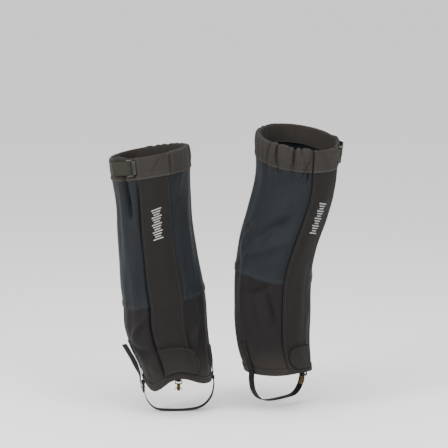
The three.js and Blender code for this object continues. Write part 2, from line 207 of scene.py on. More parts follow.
def smooth_table(values):
    """A smooth curve through values given at the GIRTH_Z heights, read every millimetre."""
    z, v = GIRTH_Z, np.array(values, float)
    gap = np.diff(z)
    rise = np.diff(v) / gap
    slope = np.empty(len(z))
    slope[0], slope[-1] = rise[0], rise[-1]
    slope[1:-1] = (rise[1:] * gap[:-1] + rise[:-1] * gap[1:]) / (gap[1:] + gap[:-1])
    i = np.clip(np.searchsorted(z, TABLE_Z, side="right") - 1, 0, len(z) - 2)
    t = (TABLE_Z - z[i]) / gap[i]
    return (
        (2 * t**3 - 3 * t**2 + 1) * v[i]
        + (t**3 - 2 * t**2 + t) * gap[i] * slope[i]
        + (3 * t**2 - 2 * t**3) * v[i + 1]
        + (t**3 - t**2) * gap[i] * slope[i + 1]
    )


ACROSS = smooth_table([61, 68, 72, 76, 76, 76, 72, 69, 69, 71, 72])
DEEP = smooth_table([64, 63, 63, 64, 65, 66, 72, 75, 77, 78, 78])


def smoothstep(low, high, value):
    t = np.clip((value - low) / (high - low), 0, 1)
    return t * t * (3 - 2 * t)


def ripple(s, z, seed):
    """Smooth, fixed undulation of about 1 high, in seven waves 26 to 90 mm long and taller than wide."""
    count, tall = 7, 2.2
    draw = np.random.default_rng(seed)
    total = np.zeros(np.broadcast(s, z).shape)
    for _ in range(count):
        wave = draw.uniform(26, 90)
        lean = draw.uniform(-0.6, 0.6)
        phase = draw.uniform(0, 2 * math.pi)
        total = total + np.sin(2 * math.pi * (s + lean * z / tall) / wave + phase + z / (wave * tall))
    return total / count * 1.6


class Leg:
    """One leg's cloth tube.

    top is (tilt, angle it leans to, rise), hem (rise in front, sag) and tab (reach, low, high).
    A fold is (angle, z, angle, z, width, height), its height out of the cloth.
    A crease of the gathered top is (top angle, low angle, depth, width).
    """

    def __init__(self, name, side, turn, place, top, hem, seam_up, tab, x, y, seed, folds, creases):
        self.name, self.side, self.seed = name, side, seed
        self.turn = math.radians(turn)
        self.place = np.array(place, float)
        self.tilt, self.tilt_at, self.rise = top
        self.front_rise, self.hem_sag = hem
        self.seam_up = seam_up
        self.tab_reach, self.tab_low, self.tab_high = tab
        self.x, self.y = smooth_table(x), smooth_table(y)
        self.folds, self.creases = folds, creases

    def at(self, angle, z, out):
        """Points in metres: angle round the leg, height, and distance out from the shell's inner face."""
        angle, z, out = np.broadcast_arrays(*(np.asarray(v, float) for v in (angle, z, out)))
        across, deep = np.interp(z, TABLE_Z, ACROSS), np.interp(z, TABLE_Z, DEEP)
        t = np.radians(angle)
        nx, ny = np.sin(t) / across, -np.cos(t) / deep
        size = np.hypot(nx, ny)
        px = (across * np.sin(t) + nx / size * out) * self.side
        py = -deep * np.cos(t) + ny / size * out
        c, s = math.cos(self.turn), math.sin(self.turn)
        lift = self.front_rise * np.exp(-((angle / 32) ** 2)) * (1 - z / HEIGHT)
        lift = lift - self.hem_sag * np.exp(-(((angle + 48) / 24) ** 2)) * np.exp(-np.clip(z, 0, None) / 70)
        lean = self.rise - self.tilt * np.cos(np.radians(angle - self.tilt_at))
        x = px * c - py * s + np.interp(z, TABLE_Z, self.x)
        y = px * s + py * c + np.interp(z, TABLE_Z, self.y)
        return MM * (self.place + np.stack([x, y, z + lift + lean * np.minimum(1, z / CASING_LOW)], -1))

    def fold(self, angle, z):
        """How far the cloth stands out of its smooth shape, in millimetres."""
        angle, z = np.broadcast_arrays(np.asarray(angle, float), np.asarray(z, float))
        s = angle * ARC
        calm = 0.45 + 0.55 * smoothstep(20, 40, np.abs(angle))
        ends = smoothstep(0, 30, z) * (1 - 0.6 * smoothstep(330, 400, z))
        back = 1 - smoothstep(160, 178, np.abs(angle))
        total = 2.1 * ripple(s, z, self.seed) * calm * ends
        for a0, z0, a1, z1, width, height in self.folds:
            d = np.array([(a1 - a0) * ARC, z1 - z0])
            t = np.clip(((s - a0 * ARC) * d[0] + (z - z0) * d[1]) / (d @ d), 0, 1)
            away = np.hypot(s - a0 * ARC - t * d[0], z - z0 - t * d[1])
            total = total + height * np.exp(-((away / width) ** 2)) * (0.45 + 0.55 * np.sin(np.pi * t))
        gathered = self.gather(angle, z) * np.exp(-np.clip(CASING_LOW - z, 0, None) / 24)
        return (total + gathered) * back

    def gather(self, angle, z):
        """Puckers drawn in by the elastic: full cloth with creases."""
        angle, z = np.broadcast_arrays(np.asarray(angle, float), np.asarray(z, float))
        up = np.clip((z - CASING_LOW) / CASING_HEIGHT, -0.7, 1)
        full = 2.4 + (0.6 if self.side > 0 else 2.6) * (1 - smoothstep(76, 96, angle))
        for top, low, depth, width in self.creases:
            away = np.abs(angle - (low + (top - low) * up)) * ARC
            full = full - depth * np.exp(-((away / width) ** 1.5))
        behind = smoothstep(75, 100, -angle) * 0.55
        return np.clip(full, -0.8, None) * np.maximum(smoothstep(23, 29, angle), behind)

    def cloth(self, angle, z, out):
        """Like at, with the folds."""
        return self.at(angle, z, np.asarray(out) + self.fold(angle, z))

    def normal(self, angle, z):
        """Unit vectors out of the cloth."""
        step = 0.4
        angle, z = np.asarray(angle), np.asarray(z)
        along = self.cloth(angle + step, z, 0) - self.cloth(angle - step, z, 0)
        up = self.cloth(angle, z + step, 0) - self.cloth(angle, z - step, 0)
        n = np.cross(along, up) * self.side
        return n / np.linalg.norm(n, axis=-1, keepdims=True)

    def upright(self, angle, z, out):
        """The CAD source's upright frame: origin in metres, then along, up and outward."""
        origin = self.at(angle, z, out)
        outward = self.at(angle, z, out + 10) - origin
        outward[2] = 0
        outward /= np.linalg.norm(outward)
        up = np.array([0.0, 0, 1])
        return origin, np.cross(up, outward), up, outward


RIGHT = Leg(
    "right", 1, 6, (0, 0, 0), (12.4, -81, 8), (16, 13), 0, (36, 12, 62),
    [2, -3, -11, -20, -23, -28, -35, -41, -44, -48, -51], [0] * 11, 11,
    [
        (-47, 400, -42, 318, 4.6, -11.0),  # the deep pleat under the slider
        (-58, 384, -56, 300, 8, 3.0),
        (-38, 380, -32, 300, 5.5, 2.8),
        (-52, 300, -46, 190, 12, 2.0),
        (-33, 300, -30, 200, 8, -1.6),
        (-35, 124, -62, 84, 6, 7.5),  # light fold across the lower panel
        (-70, 74, -29, 58, 6.5, -6.0),
        (-50, 44, -28, 30, 9, 3.6),
        (46, 388, 30, 330, 6, 3.0),
        (32, 330, 27, 250, 7, -1.8),
        (31, 206, 26, 150, 4.0, 3.6),
        (38, 182, 56, 170, 7, -1.6),
        (54, 120, 29, 70, 5, 6.5),  # light fold beside the flap's foot
        (60, 98, 33, 46, 6, -4.5),
        (66, 62, 72, 14, 8, -4.0),
        (60, 140, 50, 60, 10, -3.0),
        (31, 100, 27, 50, 4.5, 2.2),
        (100, 330, 120, 180, 14, 3.4),
        (150, 300, 130, 120, 12, -3.0),
        (-110, 300, -130, 150, 14, 3.2),
        (-150, 200, -120, 60, 12, -3.0),
    ],
    [
        (39, 41, 0.8, 6), (52, 48, 1.0, 5), (66, 69, 1.4, 4), (80, 76, 2.0, 3.5), (88, 91, 1.5, 3),
        (99, 96, 2.4, 4), (110, 114, 1.8, 3), (121, 119, 2.4, 4), (133, 136, 1.6, 3), (145, 143, 2.4, 4),
        (157, 160, 1.8, 3), (168, 167, 2.2, 3.5), (-102, -105, 2.0, 4), (-118, -116, 1.4, 3),
        (-132, -135, 2.2, 4), (-147, -146, 1.6, 3), (-163, -161, 2.2, 4),
    ],
)
LEFT = Leg(
    "left", -1, 41, (192, 30, 14), (19.8, 16, 22), (4, 0), 23, (18, 7, 50),
    [0, -8, -11, -12, -12, -10, -1, 15, 29, 32, 34],
    [0, -4, -7, -11, -16, -20, -26, -32, -38, -43, -46], 23,
    [
        (29, 396, 31, 366, 2.8, -4.6),
        (46, 344, 60, 290, 14, 3.0),
        (36, 306, 66, 296, 8, 2.6),
        (40, 288, 58, 280, 8, -2.2),
        (88, 246, 42, 300, 10, -7.0),  # the broad hollow behind the calf
        (92, 220, 34, 256, 9, 6.5),
        (112, 256, 98, 206, 8, 4.0),
        (104, 276, 120, 232, 6, -3.0),
        (74, 154, 46, 172, 4.8, -7.5),  # the two valleys of the fold under the panel seam
        (48, 170, 32, 98, 4.8, -7.0),
        (62, 142, 50, 92, 8, 6.0),
        (84, 130, 74, 60, 12, 2.8),
        (60, 70, 40, 40, 9, -2.4),
        (-34, 330, -30, 250, 6, 2.4),
        (-44, 180, -34, 100, 7, 3.0),
        (150, 300, 130, 120, 12, -3.0),
        (-110, 300, -130, 150, 14, 3.2),
        (-150, 200, -120, 60, 12, -3.0),
    ],
    [
        (24, 34, 6.0, 2.2), (41, 33, 3.4, 2.0), (50, 51, 7.0, 2.8), (57, 54, 2.4, 2.0), (74, 72, 5.6, 2.2),
        (86, 90, 4.2, 2.4), (99, 97, 1.2, 3), (110, 108, 1.8, 3), (119, 122, 1.6, 3), (132, 130, 2.6, 4),
        (146, 148, 1.8, 3), (158, 156, 2.4, 4), (169, 171, 1.6, 3), (-103, -106, 2.2, 4),
        (-119, -117, 1.4, 3), (-134, -136, 2.4, 4), (-149, -147, 1.6, 3), (-164, -162, 2.2, 4),
    ],
)


def seam_height(leg, angle):
    """The seam between the panels: it climbs early on the inner side, late on the outer one."""
    angle = np.asarray(angle, float)
    inner = angle > UNDERLAP - 1
    share = np.clip(np.where(inner, (angle - FLAP_EDGE) / 60, (-angle - 98) / 82), 0, 1)
    step = np.where(inner, SEAM_STEP, 0)
    return SEAM_HEIGHT + leg.seam_up + step + (SEAM_RISE - step) * share


# ---------------------------------------------------------------- procedural materials
def linear(r, g, b):
    def one(c):
        c /= 255
        return c / 12.92 if c <= 0.04045 else ((c + 0.055) / 1.055) ** 2.4

    return (one(r), one(g), one(b), 1)


class Graph:
    """A material's node tree, with short ways to add nodes."""

    def __init__(self, name):
        self.material = bpy.data.materials.new(name)
        self.material.use_nodes = True
        self.tree = self.material.node_tree
        self.shader = self.tree.nodes["Principled BSDF"]
        cloth = self.add("ShaderNodeUVMap")
        cloth.uv_map = "cloth"
        self.uv = cloth.outputs[0]
        split = self.add("ShaderNodeSeparateXYZ")
        self.link(self.uv, split.inputs[0])
        self.u, self.v = split.outputs[0], split.outputs[1]

    def add(self, kind):
        return self.tree.nodes.new(kind)

    def link(self, value, socket):
        if isinstance(value, bpy.types.NodeSocket):
            self.tree.links.new(value, socket)
        else:
            socket.default_value = value

    def math(self, operation, *values):
        node = self.add("ShaderNodeMath")
        node.operation = operation
        for value, socket in zip(values, node.inputs):
            self.link(value, socket)
        return node.outputs[0]

    def noise(self, scale, detail=2.0, stretch=(1, 1, 1)):
        mapping = self.add("ShaderNodeMapping")
        self.link(self.uv, mapping.inputs[0])
        mapping.inputs["Scale"].default_value = stretch
        node = self.add("ShaderNodeTexNoise")
        self.link(mapping.outputs[0], node.inputs["Vector"])
        node.inputs["Scale"].default_value = scale
        node.inputs["Detail"].default_value = detail
        return node.outputs[0]

    def mix(self, share, a, b):
        node = self.add("ShaderNodeMix")
        node.data_type = "RGBA"
        self.link(share, node.inputs["Factor"])
        self.link(a, node.inputs[6])
        self.link(b, node.inputs[7])
        return node.outputs[2]

    def ramp(self, value, low, high):
        """0 at low, 1 at high."""
        node = self.add("ShaderNodeMapRange")
        node.interpolation_type = "SMOOTHSTEP"
        self.link(value, node.inputs[0])
        node.inputs[1].default_value, node.inputs[2].default_value = low, high
        return node.outputs[0]

    def edges(self, low, high):
        """1 on the outer edges of a shape, 0 on its flats."""
        return self.ramp(self.add("ShaderNodeNewGeometry").outputs["Pointiness"], low, high)

    def bump(self, height, distance, strength=1.0, under=None):
        node = self.add("ShaderNodeBump")
        node.inputs["Strength"].default_value = strength
        node.inputs["Distance"].default_value = distance
        self.link(height, node.inputs["Height"])
        if under is not None:
            self.link(under, node.inputs["Normal"])
        return node.outputs[0]

    def wave(self, value, pitch):
        """The size of a sine that crosses zero every pitch."""
        return self.math("SINE", self.math("MULTIPLY", value, math.pi / pitch))

    def weave(self, pitch):
        """Plain weave: warp over weft in a chequer. 0 in the gaps, 1 on the yarns."""
        a, b = self.wave(self.u, pitch), self.wave(self.v, pitch)
        over = self.math("GREATER_THAN", self.math("MULTIPLY", a, b), 0.0)
        warp, weft = self.math("ABSOLUTE", a), self.math("ABSOLUTE", b)
        return self.math("ADD", weft, self.math("MULTIPLY", over, self.math("SUBTRACT", warp, weft)))

    def herringbone(self, pitch, chevron):
        """Webbing: slanting ribs that turn back every chevron."""
        turn = self.math("PINGPONG", self.u, chevron)
        return self.math("ABSOLUTE", self.wave(self.math("ADD", self.v, turn), pitch))

    def finish(self, base, rough, normal, others=None):
        """The material, once its shader has these inputs."""
        inputs = {"Base Color": base, "Roughness": rough, "Normal": normal, **(others or {})}
        for name, value in inputs.items():
            self.link(value, self.shader.inputs[name])
        return self.material


def shade(colour, factor):
    return linear(*[min(255, factor * c) for c in colour])


def fabric(name, colour, light, pitch, rough=0.78, relief=0.00012, webbing=False, heather=0.35, dust=0.0):
    """Woven cloth: yarns in relief with painted shade in the gaps between them, flecked and faded colour, a
    painted highlight on convex edges, and dust towards the hem.
    """
    g = Graph(name)
    height = g.herringbone(pitch, 0.004) if webbing else g.weave(pitch)
    flecks = g.noise(900, 2.0, (1, 0.35, 1) if webbing else (1, 1, 1))
    blotch = g.noise(14, 3.0)
    share = g.math("MULTIPLY", g.ramp(flecks, 0.3, 0.7), heather)
    base = g.mix(share, linear(*colour), linear(*light))
    base = g.mix(g.math("MULTIPLY", g.ramp(blotch, 0.35, 0.75), 0.28), base, shade(colour, 0.78))
    # Painted shade: the gaps between the yarns are painted darker.
    gap_shade = g.math("MULTIPLY", g.math("SUBTRACT", 1.0, height), 0.3)
    base = g.mix(gap_shade, base, shade(colour, 0.55))
    # Painted highlight: convex edges and fold ridges are painted lighter.
    base = g.mix(g.math("MULTIPLY", g.edges(0.53, 0.62), 0.35), base, shade(light, 1.5))
    if dust:
        edge = g.math("ADD", g.v, g.math("MULTIPLY", blotch, 0.04))
        low = g.math("SUBTRACT", 1.0, g.ramp(edge, 0.01, 0.09))
        base = g.mix(g.math("MULTIPLY", low, dust), base, linear(98, 90, 80))
    worn = g.math("ADD", rough - 0.07, g.math("MULTIPLY", g.noise(60, 2.0), 0.14))
    slack = g.bump(g.noise(75, 3.0), 0.0006)
    others = {"Sheen Weight": 0.03, "Sheen Roughness": 0.45, "Specular IOR Level": 0.1}
    return g.finish(base, worn, g.bump(height, relief, 0.8, slack), others)


def pile(name, colour, scale):
    """Hook or loop tape: a dense field of tiny stubs, with painted shade between them and a painted
    highlight on their tops.
    """
    g = Graph(name)
    cells = g.add("ShaderNodeTexVoronoi")
    g.link(g.uv, cells.inputs["Vector"])
    cells.inputs["Scale"].default_value = scale
    height = g.math("SUBTRACT", 1.0, cells.outputs["Distance"])
    # Painted shade in the hollows and a painted highlight on the stub tops.
    base = g.mix(height, shade(colour, 0.4), shade(colour, 1.5))
    return g.finish(base, 0.95, g.bump(height, 0.0004), {"Sheen Weight": 0.1})


def thread(name, colour):
    """Twisted sewing thread, with painted shade in the grooves of its twist."""
    g = Graph(name)
    twist = g.math("ABSOLUTE", g.wave(g.math("ADD", g.u, g.v), 0.0004))
    # Painted shade: the grooves of the twist are painted darker.
    base = g.mix(twist, shade(colour, 0.6), linear(*colour))
    return g.finish(base, 0.55, g.bump(twist, 0.00008), {"Sheen Weight": 0.05})


def plastic(name, colour, worn):
    """Moulded acetal: fine satin grain, and a painted highlight that lightens its edges by the share worn.
    """
    g = Graph(name)
    # Painted highlight: the edges are painted light grey by the share worn.
    base = g.mix(g.math("MULTIPLY", g.edges(0.52, 0.60), worn), linear(*colour), linear(92, 92, 88))
    rough = g.math("ADD", 0.28, g.math("MULTIPLY", g.noise(240, 3.0), 0.22))
    return g.finish(base, rough, g.bump(g.noise(2600, 2.0), 0.00004), {"Specular IOR Level": 0.2})


def brass(name):
    """Antique brass plate: a painted highlight on the edges, brown in the hollows, with fine scratches."""
    g = Graph(name)
    tarnish = g.ramp(g.noise(320, 4.0), 0.35, 0.7)
    base = g.mix(tarnish, linear(70, 56, 34), linear(38, 31, 21))
    # Painted highlight: the edges are painted bright brass.
    base = g.mix(g.edges(0.53, 0.62), base, linear(128, 106, 66))
    rough = g.math("ADD", 0.26, g.math("MULTIPLY", tarnish, 0.24))
    scratches = g.noise(1800, 3.0, (1, 0.1, 1))
    return g.finish(base, rough, g.bump(scratches, 0.00003), {"Metallic": 1.0})


def print_film(name, colour):
    """A matt transfer with fine grain and small worn spots."""
    g = Graph(name)
    grain = g.noise(700, 3.0)
    base = g.mix(g.ramp(grain, 0.55, 0.75), linear(*colour), shade(colour, 0.72))
    rough = g.math("ADD", 0.4, g.math("MULTIPLY", grain, 0.2))
    return g.finish(base, rough, g.bump(g.weave(0.0007), 0.00008))


SLATE = fabric("slate_cloth", (23, 26, 29), (33, 37, 41), 0.0007, rough=0.62, relief=0.0001)
TOUGH = fabric("tough_cloth", (23, 21, 21), (32, 30, 30), 0.0011, rough=0.70, relief=0.0002, dust=0.10)
FLAP_CLOTH = fabric("flap_cloth", (24, 22, 21), (33, 31, 29), 0.0010, rough=0.72, relief=0.00016, dust=0.05)
CASING_CLOTH = fabric("casing_cloth", (39, 36, 34), (53, 50, 46), 0.0008, rough=0.76, relief=0.00014)
OLIVE = fabric("olive_webbing", (30, 30, 25), (62, 62, 54), 0.0012, relief=0.0003, webbing=True, heather=0.6)
BLACK = fabric("black_webbing", (15, 14, 13), (26, 25, 23), 0.0011, relief=0.0003, webbing=True)
ELASTIC_CLOTH = fabric("elastic_knit", (14, 14, 14), (26, 26, 26), 0.0016, relief=0.0004)
TAPE = fabric("seam_tape", (12, 12, 12), (20, 20, 20), 0.0009, rough=0.6)
HOOKS = pile("hook_pile", (14, 14, 14), 900)
LOOPS = pile("loop_pile", (18, 17, 17), 1500)
DARK_THREAD = thread("dark_thread", (20, 19, 18))
SLATE_THREAD = thread("slate_thread", (36, 40, 44))
PALE_THREAD = thread("pale_thread", (62, 59, 54))
# The last number is the share of painted highlight on the edges: slight on the black parts, strong on the
# slider's frame.
PLASTIC = plastic("black_acetal", (11, 11, 12), 0.12)
EDGE_HIGHLIGHT_PLASTIC = plastic("worn_acetal", (20, 20, 20), 0.9)
BRASS = brass("antique_brass")
PRINT = print_film("pale_print", (132, 132, 130))


# ---------------------------------------------------------------- mesh building
def make(name, points, faces, uv, material, crisp=50):
    """An object from points in metres, faces and one uv pair for each point."""
    mesh = bpy.data.meshes.new(name)
    mesh.from_pydata(np.asarray(points, float).reshape(-1, 3).tolist(), [], faces)
    layer = mesh.uv_layers.new(name="cloth")
    corners = np.zeros(len(mesh.loops), np.int32)
    mesh.loops.foreach_get("vertex_index", corners)
    flat = np.asarray(uv, float).reshape(-1, 2)[corners]
    layer.data.foreach_set("uv", flat.astype(np.float32).ravel())
    mesh.materials.append(material)
    mesh.validate()
    mesh.update()
    fix_direction(mesh)
    mesh.shade_smooth()
    mesh.set_sharp_from_angle(angle=math.radians(crisp))
    piece = bpy.data.objects.new(name, mesh)
    scene.collection.objects.link(piece)
    return piece


def fix_direction(mesh):
    """Turns a closed mesh's faces outwards."""
    mesh.calc_loop_triangles()
    co = np.zeros(len(mesh.vertices) * 3, np.float32)
    mesh.vertices.foreach_get("co", co)
    co = co.reshape(-1, 3).astype(float)
    co -= co.mean(0)
    tri = np.zeros(len(mesh.loop_triangles) * 3, np.int32)
    mesh.loop_triangles.foreach_get("vertices", tri)
    a, b, c = co[tri.reshape(-1, 3)].transpose(1, 0, 2)
    if (a * np.cross(b, c)).sum() < 0:
        mesh.flip_normals()


def sheet_parts(outer, inner, uv):
    """Points, faces and uvs of a sheet with rounded edges, from two grids of points."""
    rows, columns = outer.shape[:2]
    middle = (outer + inner) / 2
    thick = np.linalg.norm(outer - inner, axis=-1, keepdims=True) / 2

    def away(edge, inside):
        step = edge - inside
        return step / np.maximum(np.linalg.norm(step, axis=-1, keepdims=True), 1e-9)

    sides = [
        middle[0] + away(middle[0], middle[1]) * thick[0],
        middle[-1] + away(middle[-1], middle[-2]) * thick[-1],
        middle[:, 0] + away(middle[:, 0], middle[:, 1]) * thick[:, 0],
        middle[:, -1] + away(middle[:, -1], middle[:, -2]) * thick[:, -1],
    ]
    grid = np.arange(rows * columns).reshape(rows, columns)
    out, inn = grid, rows * columns + grid
    faces = []
    for face, order in ((out, (0, 3, 2, 1)), (inn, (0, 1, 2, 3))):
        quads = [face[:-1, :-1], face[:-1, 1:], face[1:, 1:], face[1:, :-1]]
        faces += np.stack([quads[k] for k in order], -1).reshape(-1, 4).tolist()
    first = 2 * rows * columns
    rims = []
    for side in sides:
        rims.append(first + np.arange(len(side)))
        first += len(side)
    edges = [(out[0], inn[0]), (out[-1], inn[-1]), (out[:, 0], inn[:, 0]), (out[:, -1], inn[:, -1])]
    for k, ((o, i), rim) in enumerate(zip(edges, rims)):
        for j in range(len(rim) - 1):
            strips = [(o[j], o[j + 1], rim[j + 1], rim[j]), (rim[j], rim[j + 1], i[j + 1], i[j])]
            faces += [s if k in (0, 3) else s[::-1] for s in strips]
    corners = [(0, 0, 0, 2, True), (0, -1, 0, 3, False), (-1, 0, 1, 2, False), (-1, -1, 1, 3, True)]
    for r, c, row_rim, column_rim, turn in corners:
        p = rims[row_rim][0 if c == 0 else -1]
        q = rims[column_rim][0 if r == 0 else -1]
        pair = [(out[r, c], p, q), (inn[r, c], q, p)]
        faces += [t if turn else t[::-1] for t in pair]
    points = np.concatenate([outer.reshape(-1, 3), inner.reshape(-1, 3), *sides])
    edge_uv = [uv[0], uv[-1], uv[:, 0], uv[:, -1]]
    uvs = np.concatenate([uv.reshape(-1, 2), uv.reshape(-1, 2), *edge_uv])
    return points, faces, uvs


def spread(low, high, step):
    """Even values from low to high, about a step apart."""
    return np.linspace(low, high, max(2, int(round((high - low) / step)) + 1))


def grid_uv(angle, z):
    """Cloth coordinates in metres, which the weave follows."""
    angle, z = np.broadcast_arrays(np.asarray(angle, float), np.asarray(z, float))
    return np.stack([angle * ARC * MM, z * MM], -1)


def patch(name, leg, a0, a1, z0, z1, out, thick, material, step=2.5, top=None, low=None, extra=None):
    """A sheet of cloth on a leg. top and low may move its edges, and extra its distance out."""
    angles = spread(a0, a1, step / ARC)[:, None]
    shares = np.linspace(0, 1, max(2, int(round((z1 - z0) / step)) + 1))[None, :]
    bottom = low(angles) if low else z0
    ceiling = top(angles) if top else z1
    z = bottom + (ceiling - bottom) * shares
    distance = out + (extra(angles, z) if extra else 0)
    outer, inner = leg.cloth(angles, z, distance + thick), leg.cloth(angles, z, distance)
    points, faces, uvs = sheet_parts(outer, inner, grid_uv(angles, z))
    return make(name, points, faces, uvs, material)


def ring_faces(count, ring):
    """The faces between rings of points, with both ends closed."""
    index = np.arange(count * ring).reshape(count, ring)
    after = np.roll(index, -1, axis=1)
    quads = np.stack([index[:-1], after[:-1], after[1:], index[1:]], -1).reshape(-1, 4).tolist()
    return quads + [index[0][::-1].tolist(), index[-1].tolist()]


def swept(name, sections, uv, material, crisp=50):
    """A closed band: sections is an array of rings of points, (count, points in a ring, 3)."""
    return make(name, sections, ring_faces(*sections.shape[:2]), uv, material, crisp)


def distances(path):
    """How far each point of a path lies from its start, along it."""
    return np.concatenate([[0], np.cumsum(np.linalg.norm(np.diff(path, axis=0), axis=-1))])


def curve_through(points, step):
    """A smooth line through points, read about every step, by Catmull-Rom."""
    p = np.asarray(points, float)
    p = np.concatenate([[2 * p[0] - p[1]], p, [2 * p[-1] - p[-2]]])
    line = []
    for i in range(1, len(p) - 2):
        n = max(2, int(math.ceil(np.linalg.norm(p[i + 1] - p[i]) / step)))
        t = np.linspace(0, 1, n, endpoint=False)[:, None]
        a, b, c, d = p[i - 1], p[i], p[i + 1], p[i + 2]
        square, cube = 2 * a - 5 * b + 4 * c - d, 3 * b - a - 3 * c + d
        line.append(0.5 * (2 * b + (c - a) * t + square * t**2 + cube * t**3))
    return np.concatenate(line + [p[-2:-1]])


def tangents(path):
    t = np.gradient(path, axis=0)
    return t / np.linalg.norm(t, axis=-1, keepdims=True)


FACE = [(-1, 0), (-0.985, 0.6), (-0.94, 0.95), (-0.6, 1), (-0.2, 1)]
FACE += [(0.2, 1), (0.6, 1), (0.94, 0.95), (0.985, 0.6)]
RIBBON = np.array(FACE + [(-x, -y) for x, y in FACE])  # a webbing's section, with soft edges


def ribbon_parts(path, across, width, thick):
    """Rings of a webbing with soft selvedges along a path in metres, and their uvs."""
    across = np.broadcast_to(np.asarray(across, float), path.shape)
    t = tangents(path)
    across = across - (across * t).sum(-1, keepdims=True) * t
    across = across / np.linalg.norm(across, axis=-1, keepdims=True)
    face = np.cross(t, across)
    x, y = RIBBON[:, 0] * width * MM / 2, RIBBON[:, 1] * thick * MM / 2
    rings = path[:, None] + across[:, None] * x[None, :, None] + face[:, None] * y[None, :, None]
    return rings, np.stack(np.broadcast_arrays(x[None, :] + 0.02, distances(path)[:, None]), -1)


def ribbon(name, path, across, width, thick, material):
    rings, uv = ribbon_parts(path, across, width, thick)
    return swept(name, rings, uv, material, 70)


def merged(name, parts, material, crisp=50):
    """One object from several (points, faces, uvs)."""
    points, faces, uvs, start = [], [], [], 0
    for p, f, uv in parts:
        p = np.asarray(p, float).reshape(-1, 3)
        points.append(p)
        uvs.append(np.asarray(uv, float).reshape(-1, 2))
        faces += [[start + i for i in face] for face in f]
        start += len(p)
    return make(name, np.concatenate(points), faces, np.concatenate(uvs), material, crisp)


def tube_parts(path, radius, sides, flat, lift):
    """A tube along a path, with its ends closed. lift is the way that its flattened side faces."""
    t = tangents(path)
    side = np.cross(t, np.broadcast_to(lift, path.shape))
    side = side / np.maximum(np.linalg.norm(side, axis=-1, keepdims=True), 1e-9)
    rise = np.cross(side, t)
    turn = np.arange(sides) * 2 * math.pi / sides
    radius = np.broadcast_to(np.asarray(radius, float), (len(path),))[:, None, None]
    rings = path[:, None] + radius * (
        side[:, None] * np.cos(turn)[None, :, None] + rise[:, None] * (flat * np.sin(turn))[None, :, None]
    )
    uv = np.stack(np.broadcast_arrays(turn[None, :] * 0.0005, distances(path)[:, None]), -1)
    return rings.reshape(-1, 3), ring_faces(len(path), sides), uv


def stitches(name, lines, material, pitch=3.0, radius=0.26):
    """Rows of thread: each line is (points, normals) in metres, laid with one bead for each stitch."""
    parts = []
    for points, normals in lines:
        along = distances(points)
        count = int(along[-1] / (pitch * MM))
        if count < 1:
            continue
        step = along[-1] / count
        share = np.array([0.08, 0.25, 0.5, 0.75, 0.92])
        hop = np.array([-0.9, 0.45, 0.75, 0.45, -0.9]) * radius * MM
        at = (np.arange(count)[:, None] + share[None, :]) * step
        place = np.stack([np.interp(at, along, points[:, k]) for k in range(3)], -1)
        n = np.stack([np.interp(at, along, normals[:, k]) for k in range(3)], -1)
        place = place + n * hop[None, :, None]
        thick = np.array([0.55, 1, 1, 1, 0.55]) * radius * MM
        for k in range(count):
            parts.append(tube_parts(place[k], thick, 5, 1.0, n[k]))
    return merged(name, parts, material, 80)


def seam_line(leg, angles, heights, out):
    """A line on the cloth, as points and normals, for stitches."""
    angles, heights = np.broadcast_arrays(np.asarray(angles, float), np.asarray(heights, float))
    return leg.cloth(angles, heights, out), leg.normal(angles, heights)


def rounded(width, height, radius, x=0.0, y=0.0, steps=5):
    """The outline of a rectangle with round corners."""
    turn = np.linspace(0, math.pi / 2, steps)
    line = []
    for k, (sx, sy) in enumerate([(1, 1), (-1, 1), (-1, -1), (1, -1)]):
        cx, cy = sx * (width / 2 - radius), sy * (height / 2 - radius)
        a = turn + k * math.pi / 2
        line.append(np.stack([x + cx + radius * np.cos(a), y + cy + radius * np.sin(a)], -1))
    return np.concatenate(line)


def moulding(name, outline, holes, thick, bevel, material, frame_at):
    """A plate with holes and rounded edges. Its outline is in millimetres in frame_at's x and y."""
    curve = bpy.data.curves.new(name, "CURVE")
    curve.dimensions = "2D"
    curve.fill_mode = "BOTH"
    curve.extrude = (thick / 2 - bevel) * MM
    curve.bevel_depth = bevel * MM
    curve.bevel_resolution = 2
    curve.offset = -bevel * MM
    for ring in [outline, *holes]:
        spline = curve.splines.new("POLY")
        spline.points.add(len(ring) - 1)
        for point, (x, y) in zip(spline.points, ring):
            point.co = (x * MM, y * MM, 0, 1)
        spline.use_cyclic_u = True
    source = bpy.data.objects.new(name + "_curve", curve)
    scene.collection.objects.link(source)
    depsgraph = bpy.context.evaluated_depsgraph_get()
    mesh = bpy.data.meshes.new_from_object(source.evaluated_get(depsgraph))
    bpy.data.objects.remove(source)
    flat = np.array([v.co for v in mesh.vertices])
    faces = [list(p.vertices) for p in mesh.polygons]
    bpy.data.meshes.remove(mesh)
    weld, keep = np.unique(np.round(flat * 1e6).astype(int), axis=0, return_inverse=True)
    keep = keep.ravel()
    faces = [[int(keep[i]) for i in f] for f in faces]
    faces = [f for f in faces if len(set(f)) == len(f)]
    flat = weld / 1e6
    origin, x_axis, y_axis, z_axis = frame_at
    points = origin + flat[:, :1] * x_axis + flat[:, 1:2] * y_axis + flat[:, 2:] * z_axis
    return make(name, points, faces, flat[:, :2], material, 40)


# ---------------------------------------------------------------- how pieces join the frame
HINGE_LOW, HINGE_HIGH = 20, 380  # the CAD source's hinge runs between the sewn edge's points here
BEND = 18.0  # how far into the flap its cloth goes on bending


def settle(piece, leg, body, slot, *nodes):
    """Gives a piece its body and hides its CAD nodes. Flap pieces get no body: their transform is baked in
    place.
    """
    if nodes:
        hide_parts(*[f"{leg.name}_{n}" for n in nodes])
    if body == "flap":
        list(hinge_line(leg))
        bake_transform(piece)
    else:
        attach(piece, f"{leg.name}_{body}")
    return piece


